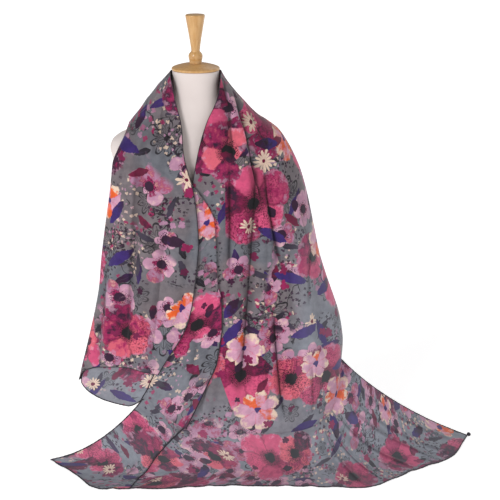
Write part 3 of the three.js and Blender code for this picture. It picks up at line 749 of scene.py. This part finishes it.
# shader helpers
def tint(*shares):
    return tuple(c / 255 / 12.92 if c <= 10 else ((c / 255 + 0.055) / 1.055) ** 2.4 for c in shares) + (1,)


def feed(tree, socket, value):
    if isinstance(value, bpy.types.NodeSocket):
        tree.links.new(value, socket)
    elif value is not None:
        socket.default_value = value


def node(tree, kind, **settings):
    made = tree.nodes.new(kind)
    for key, value in settings.items():
        setattr(made, key, value)
    return made


def calc(tree, operation, a, b=None, c=None):
    made = node(tree, "ShaderNodeMath", operation=operation)
    for socket, value in zip(made.inputs, (a, b, c)):
        feed(tree, socket, value)
    return made.outputs[0]


def times(tree, a, b):
    return calc(tree, "MULTIPLY", a, b)


def timesPlus(tree, a, b, c):
    return calc(tree, "MULTIPLY_ADD", a, b, c)


def plus(tree, a, b):
    return calc(tree, "ADD", a, b)


def minus(tree, a, b):
    return calc(tree, "SUBTRACT", a, b)


def ratio(tree, a, b):
    return calc(tree, "DIVIDE", a, b)


def vector(tree, operation, a, b=None, scale=None):
    made = node(tree, "ShaderNodeVectorMath", operation=operation)
    feed(tree, made.inputs[0], a)
    feed(tree, made.inputs[1], b)
    if scale is not None:
        feed(tree, made.inputs["Scale"], scale)
    return made.outputs["Value" if operation == "LENGTH" else "Vector"]


def split(tree, value):
    made = node(tree, "ShaderNodeSeparateXYZ")
    feed(tree, made.inputs[0], value)
    return made.outputs


def joinXyz(tree, x, y, z=0.0):
    made = node(tree, "ShaderNodeCombineXYZ")
    for socket, value in zip(made.inputs, (x, y, z)):
        feed(tree, socket, value)
    return made.outputs[0]


# 0 to 1 as value goes from low to high; low above high runs it the other way
def soft(tree, value, low, high):
    made = node(tree, "ShaderNodeMapRange", interpolation_type="SMOOTHSTEP")
    for key, item in (("Value", value), ("From Min", low), ("From Max", high)):
        feed(tree, made.inputs[key], item)
    return made.outputs[0]


def mixed(tree, share, a, b, blend="MIX"):
    made = node(tree, "ShaderNodeMix", data_type="RGBA", blend_type=blend)
    feed(tree, made.inputs["Factor"], share)
    feed(tree, made.inputs[6], a)
    feed(tree, made.inputs[7], b)
    return made.outputs[2]


def noise(tree, place, scale, detail=3.0, rough=0.55, flat=True):
    made = node(tree, "ShaderNodeTexNoise", noise_dimensions="2D" if flat else "3D")
    feed(tree, made.inputs["Vector"], place)
    feed(tree, made.inputs["Scale"], scale)
    feed(tree, made.inputs["Detail"], detail)
    feed(tree, made.inputs["Roughness"], rough)
    return made.outputs


def newGroup(name, takes, gives):
    tree = bpy.data.node_groups.new(name, "ShaderNodeTree")
    kinds = {"place": "NodeSocketVector", "colour": "NodeSocketColor"}
    for labels, way in ((takes, "INPUT"), (gives, "OUTPUT")):
        for label in labels.split():
            kind = kinds.get(label, "NodeSocketFloat")
            tree.interface.new_socket(name=label, in_out=way, socket_type=kind)
    return tree, node(tree, "NodeGroupInput").outputs, node(tree, "NodeGroupOutput").inputs


def useGroup(tree, group, **values):
    made = node(tree, "ShaderNodeGroup", node_tree=group)
    for key, value in values.items():
        feed(tree, made.inputs[key], value)
    return made.outputs


# nearest motif: how far its middle is, a turned angle round it, and three loose random numbers
def motifCell(tree, place, spacing, jitter, ragged):
    cells = node(tree, "ShaderNodeTexVoronoi", voronoi_dimensions="2D", feature="F1")
    feed(tree, cells.inputs["Vector"], place)
    feed(tree, cells.inputs["Scale"], spacing)
    cells.inputs["Randomness"].default_value = jitter
    local = vector(tree, "SUBTRACT", place, cells.outputs["Position"])
    wobble = vector(tree, "SUBTRACT", noise(tree, place, 70.0, 4.0)["Color"], (0.5, 0.5, 0.5))
    local = vector(tree, "ADD", local, vector(tree, "SCALE", wobble, scale=ragged))
    loose = node(tree, "ShaderNodeSeparateColor")
    feed(tree, loose.inputs[0], cells.outputs["Color"])
    x, y = split(tree, local)[:2]
    length = vector(tree, "LENGTH", joinXyz(tree, x, y))
    angle = plus(tree, calc(tree, "ARCTAN2", y, x), times(tree, loose.outputs[0], 2 * math.pi))
    return length, angle, loose.outputs


def makeBloomGroup():
    tree, takes, gives = newGroup("printedBloom", "place spacing radius petals notch cover eye ragged",
                                  "petal eyeMask petalTone bloomTone share rib stamens")
    length, angle, loose = motifCell(tree, takes["place"], takes["spacing"], 0.72, takes["ragged"])
    wave = calc(tree, "COSINE", times(tree, angle, times(tree, takes["petals"], 0.5)))
    lobe = calc(tree, "POWER", calc(tree, "ABSOLUTE", wave), 0.6)
    dent = times(tree, takes["notch"], minus(tree, 1.0, lobe))
    size = times(tree, takes["radius"], timesPlus(tree, loose[1], 0.45, 0.7))
    turn = ratio(tree, times(tree, angle, takes["petals"]), 2 * math.pi)
    number = calc(tree, "FLOORED_MODULO", calc(tree, "ROUND", turn), takes["petals"])
    dice = node(tree, "ShaderNodeTexWhiteNoise", noise_dimensions="2D")
    feed(tree, dice.inputs["Vector"], joinXyz(tree, number, times(tree, loose[0], 91.0)))
    uneven = timesPlus(tree, dice.outputs["Value"], 0.34, 0.78)
    uneven = times(tree, uneven, timesPlus(tree, soft(tree, dice.outputs["Value"], 0.1, 0.12), 0.45, 0.55))
    edge = times(tree, times(tree, size, uneven), minus(tree, 1.0, dent))
    share = ratio(tree, length, edge)
    present = calc(tree, "LESS_THAN", loose[2], takes["cover"])
    petal = times(tree, soft(tree, share, 1.03, 0.96), present)
    eye = times(tree, soft(tree, ratio(tree, length, takes["eye"]), 1.1, 0.85), present)
    feed(tree, gives["petal"], petal)
    feed(tree, gives["eyeMask"], eye)
    feed(tree, gives["petalTone"], dice.outputs["Value"])
    feed(tree, gives["bloomTone"], loose[1])
    feed(tree, gives["share"], share)
    feed(tree, gives["rib"], soft(tree, calc(tree, "ABSOLUTE", wave), 0.26, 0.02))
    ring = times(tree, soft(tree, ratio(tree, length, takes["eye"]), 1.9, 1.5), petal)
    dots = soft(tree, noise(tree, takes["place"], 420.0, 1.0)[0], 0.56, 0.6)
    feed(tree, gives["stamens"], times(tree, ring, dots))
    return tree


def makeLeafGroup():
    tree, takes, gives = newGroup("printedLeaf", "place spacing long wide cover ragged", "leaf tone vein")
    length, angle, loose = motifCell(tree, takes["place"], takes["spacing"], 0.8, takes["ragged"])
    alongLeaf = times(tree, length, calc(tree, "COSINE", angle))
    acrossLeaf = times(tree, length, calc(tree, "SINE", angle))
    share = ratio(tree, alongLeaf, times(tree, takes["long"], timesPlus(tree, loose[1], 0.5, 0.6)))
    square = times(tree, share, share)
    body = calc(tree, "MAXIMUM", minus(tree, 1.0, square), 0.0)
    half = times(tree, takes["wide"], calc(tree, "POWER", body, 0.85))
    off = ratio(tree, calc(tree, "ABSOLUTE", acrossLeaf), calc(tree, "MAXIMUM", half, 0.00001))
    present = calc(tree, "LESS_THAN", loose[2], takes["cover"])
    feed(tree, gives["leaf"], times(tree, soft(tree, off, 1.06, 0.92), present))
    feed(tree, gives["tone"], timesPlus(tree, share, 0.35, loose[1]))
    feed(tree, gives["vein"], soft(tree, off, 0.14, 0.04))
    return tree


def makeDrawnDaisyGroup():
    tree, takes, gives = newGroup("drawnDaisy", "place spacing radius petals cover line", "ink")
    length, angle, loose = motifCell(tree, takes["place"], takes["spacing"], 0.75, 0.004)
    wave = times(tree, angle, times(tree, takes["petals"], 0.5))
    lobe = calc(tree, "POWER", calc(tree, "ABSOLUTE", calc(tree, "COSINE", wave)), 0.5)
    size = times(tree, takes["radius"], timesPlus(tree, loose[1], 0.5, 0.7))
    edge = times(tree, size, timesPlus(tree, lobe, 0.75, 0.25))
    away = calc(tree, "ABSOLUTE", minus(tree, length, edge))
    outline = soft(tree, away, takes["line"], times(tree, takes["line"], 0.45))
    rib = times(tree, calc(tree, "ABSOLUTE", calc(tree, "SINE", wave)), length)
    rib = soft(tree, rib, takes["line"], times(tree, takes["line"], 0.45))
    rib = times(tree, rib, calc(tree, "LESS_THAN", length, times(tree, edge, 0.85)))
    second = calc(tree, "ABSOLUTE", minus(tree, length, times(tree, edge, 0.6)))
    inner = soft(tree, second, times(tree, takes["line"], 0.8), 0.0)
    ink = calc(tree, "MAXIMUM", calc(tree, "MAXIMUM", outline, rib), times(tree, inner, 0.7))
    middle = soft(tree, length, 0.006, 0.004)
    present = calc(tree, "LESS_THAN", loose[2], takes["cover"])
    feed(tree, gives["ink"], times(tree, calc(tree, "MAXIMUM", ink, middle), present))
    return tree


bloomGroup = makeBloomGroup()
leafGroup = makeLeafGroup()
daisyGroup = makeDrawnDaisyGroup()

# colours of the print
inks = {
    # the single-layer ground is lighter and cooler: painted light through the voile
    "groundDouble": tint(113, 105, 109), "groundLitThrough": tint(137, 142, 151),
    "groundWarm": tint(124, 114, 117), "groundCool": tint(110, 112, 119),
    "palePink": tint(212, 158, 182), "lilac": tint(184, 136, 164), "hotPink": tint(218, 84, 126),
    "coral": tint(230, 104, 122), "magenta": tint(158, 30, 88), "crimson": tint(110, 14, 56),
    "plum": tint(50, 18, 48), "violet": tint(58, 36, 108), "ink": tint(24, 18, 26),
    "orange": tint(236, 98, 38), "cream": tint(226, 200, 178), "slate": tint(66, 58, 74),
}


floralPrint = {
    "tinyStep": 0.0000001, "mottle": 16.0, "wash": 55.0, "region": 5.2, "speck": 230.0, "stemCells": 11.0,
    "stemBend": 0.07, "dye": ((0.74, 0.73, 0.76, 1), (0.97, 0.96, 0.97, 1)), "under": (0.62, 0.65, 0.72, 1),
    "litThroughShare": 0.1,
}


# the whole painted print: motifs in loose layers over a grey ground
def makePrintGroup():
    tree, takes, gives = newGroup("floralPrint", "place sheer", "colour")
    place, sheer = takes["place"], takes["sheer"]
    # each motif waits for the one before, so that few values are held at a time
    last = {"mask": None}

    def moved(x, y):
        at = place
        if last["mask"] is not None:
            held = timesPlus(tree, last["mask"], floralPrint["tinyStep"], 1.0)
            at = vector(tree, "SCALE", place, scale=held)
        return vector(tree, "ADD", at, (x, y, 0.0))

    def motif(group, shift, **shape):
        return useGroup(tree, group, place=moved(*shift), **shape)

    mottle = noise(tree, place, floralPrint["mottle"], 4.0)[0]
    wash = noise(tree, moved(7.0, 3.0), floralPrint["wash"], 5.0, 0.65)[0]
    region = noise(tree, moved(2.3, 9.1), floralPrint["region"], 2.0)[0]
    speck = soft(tree, noise(tree, moved(5.0, 5.0), floralPrint["speck"], 4.0, 0.7)[0], 0.5, 0.6)
    warm = mixed(tree, soft(tree, mottle, 0.35, 0.7), inks["groundDouble"], inks["groundWarm"])
    warm = mixed(tree, soft(tree, region, 0.44, 0.6), warm, inks["groundCool"])
    # painted light: the ground turns a lighter, cooler grey where a single layer lets the pale ground show
    # through
    colour = mixed(tree, sheer, warm, inks["groundLitThrough"])

    # thin dark stems, broken up
    start, sway = moved(0.6, 0.2), noise(tree, place, 14.0, 3.0)["Color"]
    bent = vector(tree, "ADD", start, vector(tree, "SCALE", sway, scale=floralPrint["stemBend"]))
    cells = node(tree, "ShaderNodeTexVoronoi", voronoi_dimensions="2D", feature="DISTANCE_TO_EDGE")
    feed(tree, cells.inputs["Vector"], bent)
    cells.inputs["Scale"].default_value = floralPrint["stemCells"]
    stems = times(tree, soft(tree, cells.outputs["Distance"], 0.016, 0.009),
                 soft(tree, noise(tree, moved(3.0, 6.0), 9.0, 2.0)[0], 0.52, 0.56))
    colour = mixed(tree, times(tree, stems, 0.85), colour, inks["ink"])
    last["mask"] = stems

    # black line drawing on the open ground
    drawn = motif(daisyGroup, (0.31, 0.17), spacing=8.5, radius=0.038, petals=9.0, cover=0.66, line=0.0032)
    last["mask"] = drawn["ink"]
    small = motif(daisyGroup, (1.73, 0.52), spacing=15.0, radius=0.02, petals=7.0, cover=0.5, line=0.0026)
    ink = calc(tree, "MAXIMUM", drawn["ink"], times(tree, small["ink"], 0.75))
    colour = mixed(tree, times(tree, ink, 0.9), colour, inks["ink"])
    last["mask"] = ink

    # sprays of small florets, thick in some regions
    for shift, spacing, size, cover, low, first, second in (
            ((4.1, 2.2), 84.0, 0.0052, 0.5, 0.53, "plum", "magenta"),
            ((5.7, 1.9), 105.0, 0.004, 0.4, 0.53, "lilac", "cream"),
            ((1.2, 8.8), 125.0, 0.0035, 0.6, 0.51, "ink", "plum"),
            ((8.3, 6.4), 56.0, 0.0076, 0.32, 0.55, "magenta", "lilac")):
        thick = soft(tree, noise(tree, moved(shift[1], shift[0]), 7.5, 1.0)[0], low, low + 0.06)
        floret = motif(bloomGroup, shift, spacing=spacing, radius=size, petals=4.0, notch=0.5,
                       cover=cover, eye=0.0014, ragged=0.006)
        shade = mixed(tree, soft(tree, floret["bloomTone"], 0.3, 0.7), inks[first], inks[second])
        last["mask"] = times(tree, times(tree, floret["petal"], thick), 0.85)
        colour = mixed(tree, last["mask"], colour, shade)

    # leaves under the blooms
    for shift, spacing, long, wide, cover, dark, light in (
            ((2.2, 5.3), 12.5, 0.034, 0.0085, 0.5, "plum", "violet"),
            ((6.6, 0.8), 15.0, 0.026, 0.0065, 0.42, "ink", "slate")):
        leaf = motif(leafGroup, shift, spacing=spacing, long=long, wide=wide, cover=cover, ragged=0.007)
        shade = mixed(tree, leaf["tone"], inks[dark], inks[light])
        shade = mixed(tree, times(tree, leaf["vein"], 0.5), shade, inks["slate"])
        colour = mixed(tree, leaf["leaf"], colour, shade)
        last["mask"] = leaf["leaf"]

    # pale blossoms in clusters
    for shift, spacing, size, cover in (((0.9, 3.7), 12.5, 0.039, 0.66), ((3.3, 0.4), 11.0, 0.034, 0.5)):
        crowd = soft(tree, noise(tree, moved(shift[1], shift[0]), 3.6, 1.0)[0], 0.44, 0.5)
        blossom = motif(bloomGroup, shift, spacing=spacing, radius=size, petals=5.0, notch=0.42,
                        cover=cover, eye=0.0105, ragged=0.006)
        shade = mixed(tree, blossom["petalTone"], inks["palePink"], inks["lilac"])
        shade = mixed(tree, times(tree, soft(tree, blossom["petalTone"], 0.74, 0.78),
                                  soft(tree, wash, 0.4, 0.6)), shade, inks["magenta"])
        shade = mixed(tree, times(tree, soft(tree, wash, 0.5, 0.72), 0.45), shade, inks["cream"])
        shade = mixed(tree, times(tree, blossom["rib"], 0.3), shade, inks["hotPink"])
        shade = mixed(tree, soft(tree, plus(tree, blossom["share"], wash), 0.95, 0.78), shade,
                      inks["magenta"])
        shade = mixed(tree, calc(tree, "MAXIMUM", blossom["eyeMask"], blossom["stamens"]), shade,
                      inks["plum"])
        last["mask"] = times(tree, blossom["petal"], crowd)
        colour = mixed(tree, last["mask"], colour, shade)

    # large poppies, each petal washed from pink to magenta
    for shift, spacing, size, cover, pale, deep in (
            ((1.4, 6.2), 5.4, 0.08, 0.66, "hotPink", "magenta"),
            ((7.9, 4.6), 6.1, 0.066, 0.46, "coral", "magenta")):
        poppy = motif(bloomGroup, shift, spacing=spacing, radius=size, petals=5.0, notch=0.2,
                      cover=cover, eye=0.014, ragged=0.014)
        flow = plus(tree, poppy["petalTone"], timesPlus(tree, wash, 1.3, -0.65))
        shade = mixed(tree, soft(tree, flow, 0.3, 0.75), inks[pale], inks[deep])
        shade = mixed(tree, soft(tree, flow, 0.68, 0.98), shade, inks["plum"])
        shade = mixed(tree, times(tree, speck, soft(tree, region, 0.42, 0.62)), shade, inks["crimson"])
        shade = mixed(tree, times(tree, soft(tree, times(tree, poppy["share"], wash), 0.44, 0.56), 0.5),
                      shade, inks["palePink"])
        shade = mixed(tree, times(tree, poppy["rib"], 0.55), shade, inks["crimson"])
        shade = mixed(tree, times(tree, soft(tree, poppy["share"], 0.5, 0.2), 0.7), shade, inks["crimson"])
        shade = mixed(tree, calc(tree, "MAXIMUM", poppy["eyeMask"], poppy["stamens"]), shade, inks["ink"])
        colour = mixed(tree, poppy["petal"], colour, shade)
        last["mask"] = poppy["petal"]

    # orange and cream blooms
    orange = motif(bloomGroup, (9.2, 8.8), spacing=5.0, radius=0.044, petals=7.0, notch=0.35,
                   cover=0.5, eye=0.007, ragged=0.014)
    shade = mixed(tree, soft(tree, plus(tree, orange["petalTone"], wash), 0.8, 1.15), inks["orange"],
                  inks["palePink"])
    shade = mixed(tree, soft(tree, times(tree, orange["share"], wash), 0.36, 0.5), shade, inks["cream"])
    shade = mixed(tree, times(tree, orange["rib"], 0.6), shade, inks["hotPink"])
    shade = mixed(tree, orange["eyeMask"], shade, inks["violet"])
    colour = mixed(tree, orange["petal"], colour, shade)
    last["mask"] = orange["petal"]

    # little cream daisies with crimson middles
    cream = motif(bloomGroup, (3.9, 7.7), spacing=9.5, radius=0.02, petals=13.0, notch=0.72,
                  cover=0.2, eye=0.0042, ragged=0.005)
    shade = mixed(tree, times(tree, cream["rib"], 0.7), inks["cream"], inks["magenta"])
    shade = mixed(tree, cream["eyeMask"], shade, inks["crimson"])
    colour = mixed(tree, cream["petal"], colour, shade)
    last["mask"] = cream["petal"]

    # dark leaves and buds over the blooms
    for shift, spacing, long, wide, cover, dark, light in (
            ((11.1, 2.9), 11.5, 0.022, 0.0085, 0.36, "plum", "crimson"),
            ((12.4, 7.1), 9.0, 0.036, 0.0115, 0.32, "plum", "violet")):
        leaf = motif(leafGroup, shift, spacing=spacing, long=long, wide=wide, cover=cover, ragged=0.009)
        shade = mixed(tree, soft(tree, plus(tree, leaf["tone"], wash), 0.75, 1.2), inks[dark], inks[light])
        colour = mixed(tree, leaf["leaf"], colour, shade)
        last["mask"] = leaf["leaf"]
    bud = motif(bloomGroup, (2.7, 11.3), spacing=26.0, radius=0.011, petals=5.0, notch=0.45,
                cover=0.2, eye=0.002, ragged=0.006)
    colour = mixed(tree, bud["petal"], colour, mixed(tree, bud["bloomTone"], inks["plum"], inks["magenta"]))

    # uneven dye, and painted light: a little of the pale ground painted in through a single layer
    dye = mixed(tree, soft(tree, wash, 0.3, 0.7), *floralPrint["dye"])
    colour = mixed(tree, 1.0, colour, dye, "MULTIPLY")
    colour = mixed(tree, times(tree, sheer, floralPrint["litThroughShare"]), colour, floralPrint["under"])
    feed(tree, gives["colour"], colour)
    return tree


# fine plain weave: two crossed sets of threads, with slubs
def makeWeaveGroup():
    tree, takes, gives = newGroup("plainWeave", "place threads slub", "height")
    x, y = split(tree, takes["place"])[:2]
    warp = calc(tree, "SINE", times(tree, x, times(tree, takes["threads"], 2 * math.pi)))
    weft = calc(tree, "SINE", times(tree, y, times(tree, takes["threads"], 2 * math.pi)))
    cross = timesPlus(tree, times(tree, warp, weft), 0.5, 0.5)
    longSlub = noise(tree, joinXyz(tree, times(tree, x, 60.0), times(tree, y, 900.0)), 1.0, 2.0)[0]
    feed(tree, gives["height"], timesPlus(tree, longSlub, takes["slub"], cross))
    return tree


# beech: fine long grain with short dark flecks, along the piece's axis
def makeGrainGroup():
    tree, takes, gives = newGroup("beechGrain", "place rings", "grain fleck")
    x, y, z = split(tree, takes["place"])
    squashed = joinXyz(tree, times(tree, x, takes["rings"]), times(tree, y, takes["rings"]),
                       times(tree, z, times(tree, takes["rings"], 0.07)))
    grain = noise(tree, squashed, 1.0, 5.0, 0.6, False)[0]
    fleckPlace = joinXyz(tree, times(tree, x, 900.0), times(tree, y, 900.0), times(tree, z, 140.0))
    feed(tree, gives["grain"], soft(tree, grain, 0.32, 0.68))
    feed(tree, gives["fleck"], soft(tree, noise(tree, fleckPlace, 1.0, 2.0, 0.5, False)[0], 0.62, 0.72))
    return tree


printGroup = makePrintGroup()
weaveGroup = makeWeaveGroup()
grainGroup = makeGrainGroup()


def newMaterial(name, rough, sheen=0.0, sheenRough=0.5, coat=0.0, coatRough=0.2, specular=0.5):
    material = bpy.data.materials.new(name)
    material.use_nodes = True
    shader = material.node_tree.nodes["Principled BSDF"]
    looks = {"Roughness": rough, "Sheen Weight": sheen, "Sheen Roughness": sheenRough, "Coat Weight": coat,
             "Coat Roughness": coatRough, "Specular IOR Level": specular}
    for label, value in looks.items():
        shader.inputs[label].default_value = value
    return material, material.node_tree, shader


def addBump(tree, shader, height, strength, distance):
    bump = node(tree, "ShaderNodeBump")
    bump.inputs["Strength"].default_value = strength
    bump.inputs["Distance"].default_value = distance
    feed(tree, bump.inputs["Height"], height)
    feed(tree, shader.inputs["Normal"], bump.outputs[0])


def makeVoile():
    material, tree, shader = newMaterial("printedVoile", 0.72, sheen=0.18, sheenRough=0.45, specular=0.25)
    place = node(tree, "ShaderNodeUVMap", uv_map="UVMap").outputs[0]
    # painted light: single layers of voile are lightened as if the pale ground showed through them
    sheer = node(tree, "ShaderNodeAttribute", attribute_name="sheer").outputs["Fac"]
    printed = useGroup(tree, printGroup, place=place, sheer=sheer)
    # painted shade: the print is multiplied towards near black in creases, laps and hollows, by the shade
    # kept on each point
    paintedRecessShade = node(tree, "ShaderNodeAttribute", attribute_name="paintedRecessShade").outputs["Fac"]
    deep = mixed(tree, paintedRecessShade, (1, 1, 1, 1), (0.1, 0.08, 0.11, 1))
    feed(tree, shader.inputs["Base Color"], mixed(tree, 1.0, printed["colour"], deep, "MULTIPLY"))
    weave = useGroup(tree, weaveGroup, place=place, threads=1800.0, slub=1.2)
    crumple = noise(tree, place, 26.0, 3.0, 0.5)[0]
    height = timesPlus(tree, crumple, 5.0, times(tree, weave["height"], 0.12))
    addBump(tree, shader, height, strength=0.5, distance=0.0006)
    return material


def makeHemThread():
    material, tree, shader = newMaterial("rolledHemThread", 0.75, sheen=0.2, specular=0.3)
    place = node(tree, "ShaderNodeTexCoord").outputs["Object"]
    x, y, z = split(tree, place)
    twist = calc(tree, "SINE", times(tree, plus(tree, plus(tree, x, y), z), 4200.0))
    fibres = noise(tree, place, 420.0, 3.0, 0.6, False)[0]
    feed(tree, shader.inputs["Base Color"], mixed(tree, fibres, tint(20, 16, 24), tint(48, 42, 54)))
    addBump(tree, shader, plus(tree, twist, fibres), strength=0.5, distance=0.0003)
    return material


def makeJersey():
    material, tree, shader = newMaterial("formJersey", 0.82, sheen=0.12, specular=0.3)
    place = node(tree, "ShaderNodeTexCoord").outputs["Object"]
    x, y, z = split(tree, place)
    around = times(tree, calc(tree, "ARCTAN2", y, x), 150.0)
    rib = calc(tree, "SINE", times(tree, around, 2.0))
    row = calc(tree, "SINE", times(tree, z, 5200.0))
    stitch = times(tree, rib, row)
    cloudy = noise(tree, place, 9.0, 3.0, 0.5, False)[0]
    feed(tree, shader.inputs["Base Color"], mixed(tree, soft(tree, cloudy, 0.3, 0.7), tint(219, 207, 203),
                                                  tint(226, 215, 211)))
    addBump(tree, shader, stitch, strength=0.25, distance=0.0002)
    return material


def makeBeech():
    material, tree, shader = newMaterial("lacqueredBeech", 0.42, coat=0.35, specular=0.45)
    place = node(tree, "ShaderNodeTexCoord").outputs["Object"]
    wood = useGroup(tree, grainGroup, place=place, rings=160.0)
    colour = mixed(tree, wood["grain"], tint(192, 144, 84), tint(208, 164, 108))
    colour = mixed(tree, times(tree, wood["fleck"], 0.35), colour, tint(148, 96, 50))
    feed(tree, shader.inputs["Base Color"], colour)
    feed(tree, shader.inputs["Roughness"], timesPlus(tree, wood["grain"], 0.1, 0.36))
    addBump(tree, shader, wood["grain"], strength=0.12, distance=0.0004)
    return material


voile, hemThread, jersey, beech = makeVoile(), makeHemThread(), makeJersey(), makeBeech()
print("materials mixed")


# dress the pieces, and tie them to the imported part
def finishPiece(piece, material, slot, *nodes):
    piece.data.materials.clear()
    piece.data.materials.append(material)
    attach(piece, "root")
    if nodes:
        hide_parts(*nodes)


finishPiece(rightPiece, voile, "voile", "scarf_right_fall")
finishPiece(leftPiece, voile, "voile", "scarf_left_fall")
finishPiece(backPiece, voile, "voile", "scarf_back")
finishPiece(trainPiece, voile, "voile", "scarf_train")
for hem in (rightHem, leftHem, backHem, trainHem):
    finishPiece(hem, hemThread, "hem_thread")
finishPiece(knotPiece, hemThread, "hem_thread", "corner_knot")
finishPiece(formPiece, jersey, "form_cover", "dress_form")
for name, shape in turnedShapes.items():
    finishPiece(turnedPieces[name], beech, "beech", shape["node"])

print("pieces tied to the part")

# pale floor and soft studio light
studio = {
    "floor": 24, "floorAt": (0, 3, -0.0006), "paper": 0.9, "glow": 0.63, "sky": 0.26, "lampAt": (0, 0, 3),
    "suns": {"key": ((66, 0, -38), 1.75, 24), "fill": ((72, 0, 40), 0.45, 50),
             "rim": ((60, 0, 140), 0.6, 60)},
}
bpy.ops.object.select_all(action="DESELECT")
bpy.ops.mesh.primitive_plane_add(size=studio["floor"], location=studio["floorAt"])
floor = bpy.context.object
floor.name = "paleFloor"
floorMaterial, _, floorShader = newMaterial("palePaper", 0.9, specular=0.1)
floorShader.inputs["Base Color"].default_value = (studio["paper"],) * 3 + (1,)
floorShader.inputs["Emission Color"].default_value = (1, 1, 1, 1)
floorShader.inputs["Emission Strength"].default_value = studio["glow"]
floor.data.materials.append(floorMaterial)
world = bpy.data.worlds.new("studioWorld")
bpy.context.scene.world = world
world.use_nodes = True
sky = world.node_tree.nodes["Background"]
sky.inputs[0].default_value = (1, 1, 1, 1)
seen = node(world.node_tree, "ShaderNodeLightPath").outputs["Is Camera Ray"]
feed(world.node_tree, sky.inputs[1], calc(world.node_tree, "MAXIMUM", seen, studio["sky"]))
for name, (turn, power, spread) in studio["suns"].items():
    bpy.ops.object.light_add(type="SUN", location=studio["lampAt"], rotation=[math.radians(a) for a in turn])
    lamp = bpy.context.object
    lamp.name = name + "Sun"
    lamp.data.energy = power
    lamp.data.angle = math.radians(spread)
bpy.context.scene.view_settings.view_transform = "Standard"
print("studio lit")
